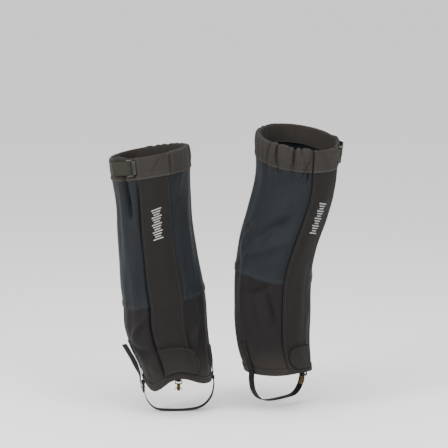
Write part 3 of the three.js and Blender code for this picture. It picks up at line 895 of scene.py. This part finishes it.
def hinge_line(leg):
    """Where a flap starts to turn, past all of its curving sewn edge, and where it turns fully."""
    sewn = leg.at(FLAP_START, np.linspace(0, CASING_LOW, 40), FLAP)
    low, high = leg.at(FLAP_START, HINGE_LOW, FLAP), leg.at(FLAP_START, HINGE_HIGH, FLAP)
    level = (HINGE_LOW + HINGE_HIGH) / 2
    middle = (low + high) / 2
    inward = leg.at(FLAP_START + 14, level, FLAP) - leg.at(FLAP_START, level, FLAP)
    edge = (high - low) / np.linalg.norm(high - low)
    inward = inward - (inward @ edge) * edge
    inward = inward / np.linalg.norm(inward)
    start = middle + inward * (((sewn - middle) @ inward).max() + 0.5 * MM)
    return start, start + BEND * MM * inward


def tape_strip(leg, piece, node, body, angles, heights, out, material, step=3.0):
    """A narrow strip of seam, hook or loop tape laid on the cloth."""
    strip = patch(f"{leg.name}_{piece}", leg, *angles, *heights, out, STRIP, material, step=step)
    settle(strip, leg, body, "black_strip", node)


# ---------------------------------------------------------------- the shell
HALVES = [("outer", -BACK, -FLAP_EDGE), ("inner", UNDERLAP, BACK)]
CEILING = CASING_LOW - SEAM_GAP
LAP = 7.0  # how far the upper panel's turned edge laps the lower one


def lap_share(angle):
    """The lap fades out under the flap, where the strips lie."""
    return np.where(np.asarray(angle) > 0, smoothstep(20, 26, angle), 1.0)


def groove(angle, z):
    """The shell dips beside the flap's sewn edge, as the seam pulls it in, but not at hem and casing."""
    dip = -4.2 * np.exp(-(((angle + 24.2) / 2.0) ** 2))
    return dip * smoothstep(0, 25, z) * (1 - smoothstep(365, 388, z))


def panels(leg):
    """The four panels with their hem bands, and the seam, hem and back rows of thread."""
    name = leg.name
    lines, dark = [], []
    for half, a0, a1 in HALVES:
        def upper_out(angle, z):
            above = z - seam_height(leg, angle)
            rise = 1.45 * lap_share(angle) * (1 - smoothstep(LAP - 1, LAP + 6, above))
            pucker = 0.25 * np.sin(2 * np.pi * angle * ARC / 9 + 2 * np.sin(angle / 9))
            return rise + pucker * np.exp(-((above - LAP) / 7) ** 2) + groove(angle, z)

        def lower_out(angle, z):
            below = z - seam_height(leg, angle)
            return groove(angle, z) - 0.3 * np.exp(-((below / 5) ** 2))

        def upper_foot(angle):
            return seam_height(leg, angle) - 2.5 * lap_share(angle)

        def lower_top(angle):
            return seam_height(leg, angle) - SEAM_GAP + (LAP - 1) * lap_share(angle)

        upper = patch(f"{name}_upper_{half}_cloth", leg, a0, a1, SEAM_HEIGHT, CEILING, 0, FABRIC, SLATE,
                      low=upper_foot, extra=upper_out)
        lower = patch(f"{name}_lower_{half}_cloth", leg, a0, a1, 0, SEAM_HEIGHT, 0, FABRIC, TOUGH,
                      top=lower_top, extra=lower_out)
        settle(upper, leg, "gaiter", "slate_shell", f"upper_{half}_panel")
        settle(lower, leg, "gaiter", "tough_shell", f"lower_{half}_panel")

        visible = np.linspace(a0 + 2, a1 - 2, 240)
        visible = visible[(visible < -FLAP_EDGE) | (visible > 16)]
        for up in (1.2, 4.6):
            z = seam_height(leg, visible) + up
            lines.append(seam_line(leg, visible, z, FABRIC + upper_out(visible, z)))
        dark.append(seam_line(leg, visible, HEM_HEIGHT - 2.0, HEM_BAND + FABRIC + 0.05))
        hem = hem_band(leg, half, a0, a1)
    settle(stitches(f"{name}_panel_stitches", lines, SLATE_THREAD), leg, "gaiter", "slate_shell")
    settle(stitches(f"{name}_hem_stitches", dark, DARK_THREAD), leg, "gaiter", "tough_shell")
    tape_strip(leg, "back_tape", "back_seam_tape", "gaiter", (168, 180), (HEM_HEIGHT, CEILING),
               SEAM_TAPE, TAPE)
    z = np.linspace(HEM_HEIGHT + 2, CASING_LOW - 12, 200)
    lines = [seam_line(leg, angle, z, FABRIC + 0.05) for angle in (175.5, -175.5)]
    settle(stitches(f"{name}_back_stitches", lines, DARK_THREAD), leg, "gaiter", "slate_shell")


def hem_band(leg, half, a0, a1):
    """The turned hem: a band with a round lower fold that closes on the shell's edge."""
    ring = np.array([
        (0.6, 1.3), (-0.9, 1.3), (-1.5, 1.7), (-1.5, 2.4), (-0.9, 3.0), (1.5, 3.2), (5, 3.1), (8.5, 3.0),
        (9.6, 2.85), (HEM_HEIGHT, 2.8), (HEM_HEIGHT + 0.3, 2.4), (HEM_HEIGHT, 1.85), (7, 1.75), (3, 1.75),
    ])
    angles = spread(a0, a1, 2.5 / ARC)[:, None]
    points = leg.cloth(angles, ring[None, :, 0], ring[None, :, 1])
    piece = swept(f"{leg.name}_hem_{half}", points, grid_uv(angles, distances(ring)[None, :]), TOUGH, 60)
    return settle(piece, leg, "gaiter", "tough_shell", f"hem_band_{half}")


# ---------------------------------------------------------------- the casing at the top
TURN_RADIUS = (FABRIC - CASING_BACK) / 2  # the outside of the casing's folded top edge


def casing_ring(angle, bulge, lip):
    """Heights and distances of a casing's folded outline at some angles."""
    top, middle, inside = HEIGHT - TURN_RADIUS, FABRIC - TURN_RADIUS, TURN_RADIUS - FABRIC
    outer = np.linspace(CASING_LOW - 5.5, top, 16)
    arc = np.linspace(0, math.pi, 9)[1:-1]
    inner = np.linspace(top, CASING_LOW, 10)
    ring = [(z, FABRIC, 1.0) for z in outer]
    ring += [(top + TURN_RADIUS * math.sin(t), middle + TURN_RADIUS * math.cos(t), math.cos(t)) for t in arc]
    ring += [(z, CASING_BACK, -1.0) for z in inner]
    ring += [(z, CASING_BACK + FABRIC, -1.0) for z in inner[::-1][:-1]]
    ring += [(top + inside * math.sin(t), middle + inside * math.cos(t), math.cos(t)) for t in arc[::-1]]
    ring += [(z, 0.0, 1.0) for z in outer[::-1]]
    z, out, side = (np.array(c)[None, :] for c in zip(*ring))
    z = np.broadcast_to(z, (len(angle), z.shape[1])).copy()
    up = np.clip((z - CASING_LOW) / CASING_HEIGHT, 0, 1)
    belly = bulge * np.sin(np.pi * up) ** 0.8
    step = lip * (1 - smoothstep(CASING_LOW - 1, CASING_LOW + 4, z))
    outward = np.where(side > 0, belly * side + step, belly * side * 0.8)
    z = z + np.where(z < CASING_LOW, (1 - lip / 1.45) * (CASING_LOW - z), 0)
    return z, out + outward


def casing(leg):
    """Both folded halves of the gathered top, its row of thread, and the elastic inside."""
    name = leg.name
    lines = []
    for half, a0, a1 in HALVES:
        angles = spread(a0, a1, 1.8 / ARC)[:, None]
        pull = leg.gather(angles, np.full_like(angles, HEIGHT)) / 2.4  # about 1 on the puckers
        quiet = np.where(angles > 0, smoothstep(22, 30, angles), smoothstep(-160, -175, angles))
        lip = 1.45 * np.where(angles > 0, smoothstep(22.5, 25, angles), smoothstep(-22.5, -24, angles))
        z, out = casing_ring(angles, 1.6 * quiet * (0.4 + pull), lip)
        up = np.clip((z - CASING_LOW) / CASING_HEIGHT, 0, 1)
        bunch = 6.0 * np.exp(-(((angles + 56) / 15) ** 2)) if half == "outer" else 0  # behind the slider
        z = z + up**3 * (bunch + 2.4 * (pull - 0.8) * quiet)
        folds = leg.fold(angles, z)
        points = leg.at(angles, z, out + np.where(out < -1.0, -0.5 * np.abs(folds), folds))
        uv = grid_uv(angles, distances(np.stack([z[0], out[0]], -1))[None, :])
        piece = swept(f"{name}_casing_{half}_cloth", points, uv, CASING_CLOTH, 60)
        settle(piece, leg, "gaiter", "casing_cloth", f"casing_{half}")
        visible = angles[:, 0]
        visible = visible[(visible < -FLAP_EDGE - 1) | (visible > 24)]
        lines.append(seam_line(leg, visible, CASING_LOW - 3.2, FABRIC + 1.5))
    sewn = stitches(f"{name}_casing_stitches", lines, PALE_THREAD, radius=0.3)
    settle(sewn, leg, "gaiter", "casing_cloth")
    margin = (CASING_HEIGHT - STRAP_WIDTH) / 2
    angles = spread(FLAP_EDGE, 168, 2.5 / ARC)[:, None]
    z = spread(CASING_LOW + margin, HEIGHT - margin, 3)[None, :]
    outer, inner = leg.at(angles, z, ELASTIC + ELASTIC_THICK), leg.at(angles, z, ELASTIC)
    band = make(f"{name}_elastic_band", *sheet_parts(outer, inner, grid_uv(angles, z)), ELASTIC_CLOTH)
    settle(band, leg, "gaiter", "elastic", "casing_elastic")


# ---------------------------------------------------------------- the top strap and its slider
STRAP_POINTS = [(angle, 2.2) for angle in (-155, -140, -125, -110, -98, -82)] + [(-70, 4), (-58, 11)]
STRAP_START = -FLAP_EDGE - 1
STRAP_MIDDLE = HEIGHT - CASING_HEIGHT / 2
SLIDER_NEAR, SLIDER_MIDDLE, SLIDER_FAR = -5, -8, -16  # steps from the end of the strap's line


def strap_line(leg, z):
    """The middle of the strap's thickness at a height, from the back seam to the flap's band."""
    curve = [leg.at(a, z, out + WEBBING / 2) for a, out in STRAP_POINTS]
    far, near = curve[-1], leg.at(STRAP_START, z, 6.8 + WEBBING / 2)
    share = np.linspace(0, 1, 16)[1:, None]
    straight = far + (near - far) * share
    tucked = leg.at(STRAP_START, z, 3.2 + WEBBING / 2) - near
    straight = straight + tucked * smoothstep(0.93, 1.0, share)
    return np.concatenate([curve_through(curve, 0.003)[:-1], [far], straight])


def top_strap(leg):
    """The webbing round the outer half of the casing."""
    name = leg.name
    low, high = (strap_line(leg, STRAP_MIDDLE + side * STRAP_WIDTH / 2) for side in (-1, 1))
    count = min(len(low), len(high))
    low, high = low[:count], high[:count]
    path = (low + high) / 2
    strap = ribbon(f"{name}_top_strap", path, high - low, STRAP_WIDTH, WEBBING, OLIVE)
    settle(strap, leg, "gaiter", "olive_webbing", "top_webbing")
    slider(leg, path, high - low)


def slider(leg, path, rise):
    """A tri-glide: end walls that stand proud, a back plate and one bar across the front."""
    name = leg.name
    near, far = path[SLIDER_NEAR], path[SLIDER_FAR]
    run = (far - near) / np.linalg.norm(far - near)
    box = np.array(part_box(f"{name}_top_slider"))
    at = near + ((box.mean(0) - near) @ run) * run
    lean = rise[SLIDER_MIDDLE] / np.linalg.norm(rise[SLIDER_MIDDLE])
    lean = lean - (lean @ run) * run
    lean /= np.linalg.norm(lean)
    outward = np.cross(run, lean)
    if outward @ (at - leg.at(-40, STRAP_MIDDLE, -60)) < 0:
        outward = -outward
    half, wall, depth, length = STRAP_WIDTH / 2 + 0.8, 1.6, 2.5, 12.0
    blocks = [
        ((half + wall / 2 + 0.1, 0, 0), (wall, depth * 2, length)),
        ((-half - wall / 2 - 0.1, 0, 0), (wall, depth * 2, length)),
        ((0, -1.95, 0), (2 * half + 0.6, 1.1, length - 1.4)),
        ((0, 2.0, -1.2), (2 * half + 0.6, 1.5, 3.0)),
    ]
    parts = [block_parts(at, (lean, outward, run), centre, size, 0.55) for centre, size in blocks]
    frame = merged(f"{name}_slider_frame", parts[:3], EDGE_HIGHLIGHT_PLASTIC, 35)
    settle(frame, leg, "slider", "black_plastic", "top_slider")
    settle(merged(f"{name}_slider_bar", parts[3:], PLASTIC, 35), leg, "slider", "black_plastic")


def block_parts(origin, axes, centre, size, radius):
    """A box with rounded edges: rings of a rounded rectangle along the third axis."""
    width, depth, length = size
    insets = [(0.0, 1.0), (0.12, 0.55), (0.4, 0.18), (1.0, 0.0)]
    levels = [(-length / 2 + i * radius, inset * radius) for i, inset in insets]
    levels += [(-z, inset) for z, inset in levels[::-1]]
    rings = []
    for z, inset in levels:
        corner = max(0.12, min(radius, depth / 2 - 0.05) - inset * 0.6)
        outline = rounded(width - 2 * inset, depth - 2 * inset, corner, steps=4)
        local = np.column_stack([outline, np.full(len(outline), z)]) + centre
        rings.append(origin + MM * local @ np.array(axes))
    rings = np.array(rings)
    count, ring = rings.shape[:2]
    u, v = np.arange(ring)[None, :] * 0.0008, np.arange(count)[:, None] * 0.001
    return rings.reshape(-1, 3), ring_faces(count, ring), np.stack(np.broadcast_arrays(u, v), -1)


# ---------------------------------------------------------------- the front flap
def flap_out(angle):
    """Turned edges make the flap thicker, and it is slightly crowned between them."""
    angle = np.asarray(angle, float)
    turned = 0.4 * (smoothstep(-13, -18, angle) + smoothstep(14, 18, angle))
    crown = 0.5 * np.cos(np.radians(angle * 4))
    edge = 0.9 * np.exp(-(((angle - FLAP_START) / 3) ** 2))
    return turned + crown + edge


def front_flap(leg):
    """The flap with its band and mark, and the hook and loop strips under it."""
    name = leg.name
    flap = patch(f"{name}_flap_cloth", leg, FLAP_START, FLAP_EDGE, 0, CEILING, FLAP, FABRIC, FLAP_CLOTH,
                 step=2.0, extra=lambda angle, z: flap_out(angle))
    settle(flap, leg, "flap", "flap_cloth", "front_flap")
    up = np.linspace(3, CEILING - 8, 220)
    across = np.linspace(FLAP_START + 2, FLAP_EDGE - 2, 40)
    lines = []
    for angle, z in ((-19.4, up), (19.6, up), (across, 3.5)):
        lines.append(seam_line(leg, angle, z, FLAP + FABRIC + flap_out(angle) + 0.02))
    settle(stitches(f"{name}_flap_stitches", lines, DARK_THREAD), leg, "flap", "flap_cloth")

    flap_band(leg)
    angles, heights = (0, 15), (HEM_HEIGHT + 3, CEILING - 4)
    tape_strip(leg, "loop_tape", "flap_loop_strip", "flap", angles, heights, LOOP_STRIP, LOOPS)
    tape_strip(leg, "hook_tape_strip", "front_hook_strip", "gaiter", angles, heights, HOOK_STRIP, HOOKS)
    mark(leg)


def flap_band(leg):
    """The doubled band across the flap's top, with a light row of thread along its foot."""
    name = leg.name
    angles = spread(FLAP_START, FLAP_EDGE, 1.8 / ARC)[:, None]
    top = HEIGHT - 0.2
    outer = np.linspace(CASING_LOW - 5.5, top, 14)
    inner = np.linspace(top, CASING_LOW + 0.5, 10)
    ring = [(z, 4.8) for z in outer] + [(HEIGHT + 0.9, 4.1), (HEIGHT + 0.9, 3.1)]
    ring += [(z, 2.4) for z in inner] + [(z, 3.45) for z in inner[::-1]] + [(z, 3.7) for z in outer[::-1]]
    z, out = (np.array(c)[None, :] for c in zip(*ring))
    z = np.broadcast_to(z, (len(angles), z.shape[1])).copy()
    out = np.broadcast_to(out, z.shape).copy()
    lip = 1.9 * (1 - smoothstep(CASING_LOW - 1, CASING_LOW + 5, z)) * (out > 3.6)
    up = np.clip((z - CASING_LOW) / CASING_HEIGHT, 0, 1)
    leaning = angles * ARC - 22 * (up - 0.3)
    slant = 1.5 * np.exp(-(((leaning + 4) / 4.0) ** 2)) - np.exp(-(((leaning - 2) / 3.0) ** 2))
    belly = (0.7 + slant) * np.sin(np.pi * up)
    out = out + lip + np.where(out > 3.6, belly, 0)
    points = leg.cloth(angles, z, out)
    uv = grid_uv(angles, distances(np.stack([z[0], out[0]], -1))[None, :])
    band = swept(f"{name}_flap_band", points, uv, CASING_CLOTH, 60)
    settle(band, leg, "flap", "casing_cloth", "flap_top_band")
    across = np.linspace(FLAP_START + 1.5, FLAP_EDGE - 1.5, 50)
    lines = [seam_line(leg, across, CASING_LOW - 3.0, 4.8 + 1.95)]
    up = np.linspace(CASING_LOW, HEIGHT - 2, 30)
    share = (up - CASING_LOW) / CASING_HEIGHT
    lines.append(seam_line(leg, FLAP_START + 2.5, up, 4.85 + 0.7 * np.sin(np.pi * share)))
    settle(stitches(f"{name}_band_stitches", lines, PALE_THREAD, radius=0.3), leg, "flap", "casing_cloth")


def mark(leg):
    """A plain reflective mark: a ladder of slanting bars."""
    parts = []
    low, high, bars = 267.0, 327.0, 13
    pitch = (high - low) / bars
    for k in range(bars):
        wide = (7.0, 4.2, 5.6)[k % 3]
        angles = np.linspace(-wide, wide, 14)[:, None]
        shares = np.linspace(0, 1, 4)[None, :]
        z = low + (k + 0.3) * pitch + shares * pitch * 0.4 + angles * 0.3
        base = FLAP + FABRIC + flap_out(angles) + 0.04
        outer, inner = leg.cloth(angles, z, base + 0.3), leg.cloth(angles, z, base)
        parts.append(sheet_parts(outer, inner, grid_uv(angles, z)))
    piece = merged(f"{leg.name}_mark_bars", parts, PRINT)
    settle(piece, leg, "flap", "pale_mark", "reflective_mark")


# ---------------------------------------------------------------- the tab
TAB_CURVE = 16.0  # degrees of rounded end


def closure_tab(leg):
    """The tab across the flap's foot, bound in webbing. A long one ends past the flap, on loops there."""
    name = leg.name
    middle, half = (leg.tab_high + leg.tab_low) / 2, (leg.tab_high - leg.tab_low) / 2
    reach, start = leg.tab_reach, FLAP_START
    round_from = reach - TAB_CURVE
    angles = np.concatenate([
        spread(start, round_from, 2.0 / ARC)[:-1],
        round_from + (TAB_CURVE - 0.05) * np.sin(np.linspace(0, math.pi / 2, 14)),
    ])[:, None]

    def half_at(angle):
        """Half the tab's height, less towards its rounded end."""
        share = np.clip((angle - round_from) / TAB_CURVE, 0, 0.999)
        return half * np.sqrt(1 - share**2.4)

    def lift(angle, z):
        """The tab's puckers, and its rise over the flap and over its own sewn end."""
        pinch = np.exp(-(((angle - (reach - 15)) * ARC / 4.5) ** 2) - ((z - middle - 2) / 9) ** 2)
        ridge = np.exp(-(((angle - (reach - 9)) * ARC / 4) ** 2) - ((z - middle) / 14) ** 2)
        crown = 0.8 * np.exp(-((angle / 14) ** 2))
        return 1.1 * ridge - 0.9 * pinch + crown + 0.9 * np.exp(-(((angle - start) / 3) ** 2))

    shares = np.linspace(-1, 1, 25)[None, :]
    z = middle + shares * half_at(angles)
    extra = lift(angles, z)
    outer, inner = leg.cloth(angles, z, TAB + extra + FABRIC), leg.cloth(angles, z, TAB + extra)
    tab = make(f"{name}_tab_cloth", *sheet_parts(outer, inner, grid_uv(angles, z)), FLAP_CLOTH)
    settle(tab, leg, "tab", "flap_cloth", "closure_tab")

    def rim(inset):
        """The tab's outline, moved in by some millimetres."""
        a = np.concatenate([angles[:, 0], angles[::-1, 0]])
        a = np.clip(a, None, reach - inset / ARC)
        side = np.r_[-np.ones(len(angles)), np.ones(len(angles))]
        zz = middle + side * np.maximum(half_at(a + inset / ARC * (a > round_from)) - inset, 0.0)
        keep = np.r_[True, np.hypot(np.diff(a) * ARC, np.diff(zz)) > 0.25]
        return a[keep], zz[keep]

    a, zz = rim(0.2)
    edge = leg.cloth(a, zz, TAB + lift(a, zz) + FABRIC / 2)
    cord = tube_parts(edge, 1.15 * MM, 8, 1.0, leg.normal(a, zz))
    settle(merged(f"{name}_tab_binding", [cord], BLACK, 80), leg, "tab", "black_webbing")
    a, zz = rim(3.6)
    line = seam_line(leg, a, zz, TAB + lift(a, zz) + FABRIC + 0.02)
    settle(stitches(f"{name}_tab_stitches", [line], DARK_THREAD), leg, "tab", "flap_cloth")

    past_flap = reach > 30
    held = (23.4 if past_flap else 2.0, reach - 4.5)
    tape_strip(leg, "tab_hooks", "tab_hook_patch", "tab", held, (middle - 14, middle + 14), TAB_HOOK, HOOKS,
               step=2.5)
    if past_flap:
        tape_strip(leg, "tab_loops", "tab_loop_patch", "gaiter", held, (middle - 15, middle + 15),
                   HOOK_STRIP, LOOPS, step=2.5)


# ---------------------------------------------------------------- the lace hook and its tape
def beside(upright, out, height):
    """Points in the plane across a leg's skin, out from and up from an upright frame's origin."""
    origin, _, up, outward = upright
    return origin + MM * (np.asarray(out)[..., None] * outward + np.asarray(height)[..., None] * up)


HOOK_ANGLE = -3.75
HOOK_TAPE = -1.8  # the inner face of the hook's tape


def lace_hook(leg):
    """A plate hook on a loop of tape that is riveted inside the hem."""
    name = leg.name
    middle = HOOK_TAPE + WEBBING / 2
    upright = leg.upright(HOOK_ANGLE, 0, middle)
    origin, along, up, outward = upright
    rise = leg.at(HOOK_ANGLE, np.linspace(26, 1, 8), middle)
    turn = np.radians(np.arange(90, -220, -20))
    loop = beside(upright, 2.3 * np.cos(turn), -4 + 2.3 * np.sin(turn))
    path = np.concatenate([rise, loop])
    tape = ribbon(f"{name}_lace_tape", curve_through(path, 0.0012), along, 8, WEBBING, BLACK)
    settle(tape, leg, "gaiter", "black_webbing", "hook_tape")

    centre = origin - 0.004 * up
    frame_at = (centre, along, up, outward)
    outline, slot = rounded(14, 8.2, 2.0, 0, -3), rounded(10.4, 4.6, 1.4, 0, -3)
    plate = moulding(f"{name}_hook_plate", outline, [slot], 1.6, 0.35, BRASS, frame_at)
    curl = [(0, -6), (0, -15), (-0.6, -18), (-2.6, -19.4), (-4.8, -18.6), (-5.8, -16), (-5.8, -12)]
    curl = curve_through(curl, 0.7)
    line = centre + MM * (curl[:, :1] * outward + curl[:, 1:2] * up)
    width = np.interp(np.linspace(0, 1, len(line)), [0, 0.25, 0.55, 0.8, 1], [7.5, 5.4, 6.0, 6.4, 4.0])
    rings, uv = ribbon_parts(line, along, 1.0, 1.6)
    side = ((rings - line[:, None]) @ along)[..., None] * along
    rings = rings - side + side * width[:, None, None]
    stem = swept(f"{name}_hook_stem", rings, uv, BRASS, 40)
    arms = []
    for sign in (-1, 1):
        arm = [(2.4, -13.2, 0.2), (4.4, -14.0, 0.3), (5.6, -15.6, 0.0), (5.9, -17.2, -0.8)]
        points = [centre + MM * (sign * x * along + y * up + z * outward) for x, y, z in arm]
        points = curve_through(points, 0.0006)
        arms.append(tube_parts(points, np.linspace(0.95, 0.7, len(points)) * MM, 8, 0.8, outward))
    prongs = merged(f"{name}_hook_arms", arms, BRASS, 60)
    for piece in (plate, stem, prongs):
        settle(piece, leg, "hook", "brass_metal", "lace_hook")

    origin, along, up, outward = leg.upright(HOOK_ANGLE, 14, HOOK_TAPE - 1.3)
    profile = [(0.02, 0.75), (1.0, 0.68), (1.9, 0.42), (2.5, 0.05), (2.6, -0.3), (2.2, -0.42), (0.02, -0.42)]
    profile = np.array(profile)
    turn = np.arange(24) * math.pi / 12
    circle = np.cos(turn)[:, None] * along + np.sin(turn)[:, None] * up
    rings = origin + MM * (profile[:, :1, None] * circle - profile[:, 1:, None] * outward)
    uv = np.stack(np.broadcast_arrays(turn[None, :] * 0.001, profile[:, :1] * 0.001), -1)
    rivet = swept(f"{name}_rivet_dome", rings, uv, BRASS, 50)
    settle(rivet, leg, "gaiter", "brass_metal", "hook_rivet")


# ---------------------------------------------------------------- the stirrup
OUTER, INNER = -90.0, 90.0  # where the anchors are sewn


def anchor_out(height):
    """Where an anchor's inner face lies: over the hem band, then down on the cloth."""
    return FLAP - 2.0 * smoothstep(13, 24, height)


def stirrup(leg):
    """Both anchors, the ladder buckle, and the strap under the boot with its loose tail."""
    name = leg.name

    def webbing(piece, body, node, path, width):
        band = ribbon(f"{name}_{piece}", path, width, STIRRUP_WIDTH, WEBBING, BLACK)
        settle(band, leg, body, "black_webbing", node)

    def anchor_line(angle, heights):
        line = leg.cloth(angle, heights, anchor_out(heights) + WEBBING / 2)
        return line, leg.at(angle + 1, 40, 0) - leg.at(angle - 1, 40, 0)

    upright = leg.upright(OUTER, 0, FLAP + 2)
    start, along, up, outward = upright
    flat, width = anchor_line(OUTER, np.linspace(78, 4, 26))
    turn = np.radians(np.arange(75, -235, -18))
    loop = beside(upright, 2.8 * np.cos(turn), -4 + 2.8 * np.sin(turn))
    foot = [leg.at(OUTER, 2.2, FLAP + WEBBING / 2), beside(upright, -0.4, -0.6)]
    path = curve_through(np.concatenate([flat, foot, loop]), 0.002)
    webbing("outer_anchor", "gaiter", "stirrup_anchor_outer", path, width)
    webbing("inner_anchor", "gaiter", "stirrup_anchor_inner", *anchor_line(INNER, np.linspace(62, 0, 24)))
    lines = []
    for angle, top, low in ((OUTER, 76, 46), (INNER, 60, 32)):
        lines += box_stitch(leg, angle, top, low, anchor_out(low) + WEBBING + 0.05)
    sewn = stitches(f"{name}_anchor_stitches", lines, DARK_THREAD, pitch=2.6)
    settle(sewn, leg, "gaiter", "black_webbing")

    body = rounded(21, 20, 3.2, 0, -8.8)
    holes = [rounded(16, 5.4, 1.3, 0, -4.2), rounded(16, 5.0, 1.3, 0, -13.0)]
    frame_at = (start - 0.004 * up, along, up, outward)
    buckle = moulding(f"{name}_ladder_buckle", body, holes, 2.6, 0.7, PLASTIC, frame_at)
    settle(buckle, leg, "gaiter", "black_plastic", "stirrup_buckle")

    clear = FLAP + WEBBING
    lap_out = clear + 1.4 + WEBBING / 2
    reach = leg.at(INNER, 0, lap_out) - start
    heading = reach * [1, 1, 0]
    heading /= np.linalg.norm(heading)
    side = np.cross(heading, [0, 0, 1])
    span = reach @ heading / MM

    def under(points):
        """A line in the upright plane through both anchors, from distances across it and heights."""
        return curve_through([start + MM * (across * heading + z * up) for across, z in points], 0.0025)

    def in_plane(angle, height, out):
        point = (leg.at(angle, height, out) - start) / MM
        return point @ heading, point[2]

    run = [
        (2.6, -10), (2.8, -22), (8, -39), (22, 4 - STIRRUP_DROP), (44, -STIRRUP_DROP),
        (span - 44, -STIRRUP_DROP), (span - 20, 7 - STIRRUP_DROP), (span - 5, -34), (span, -14), (span, 0),
        in_plane(INNER, 5, lap_out + 0.4),
    ]
    webbing("arch_strap", "stirrup", "stirrup_strap", under(run), side)
    rise = [(-2.8, -14), (-5, -3)]
    for height, gap in ((10, 3.5), (22, 4), (38, 4.5), (54, 5.5), (70, 8)):
        rise.append(in_plane(OUTER, height, clear + gap))
    path = under(rise)
    twist = np.radians(42) * smoothstep(0.1, 0.6, np.linspace(0, 1, len(path)))[:, None]
    twist = -leg.side * np.sign(side[1]) * twist
    webbing("strap_tail", "tail", "stirrup_tail", path, side * np.cos(twist) + heading * np.sin(twist))


def box_stitch(leg, angle, top, low, out):
    """A sewn box with its diagonals."""
    half = 4.6
    corners = [(-1, low), (1, low), (1, top), (-1, top), (-1, low), (1, top)]
    runs = [(corners[k], corners[k + 1]) for k in range(5)] + [((-1, top), (1, low))]
    lines = []
    for (a, z0), (b, z1) in runs:
        t = np.linspace(0, 1, 12)
        lines.append(seam_line(leg, angle + half * (a + (b - a) * t), z0 + (z1 - z0) * t, out))
    return lines


# ---------------------------------------------------------------- the pair
for gaiter in (RIGHT, LEFT):
    panels(gaiter)
    casing(gaiter)
    top_strap(gaiter)
    front_flap(gaiter)
    closure_tab(gaiter)
    lace_hook(gaiter)
    stirrup(gaiter)
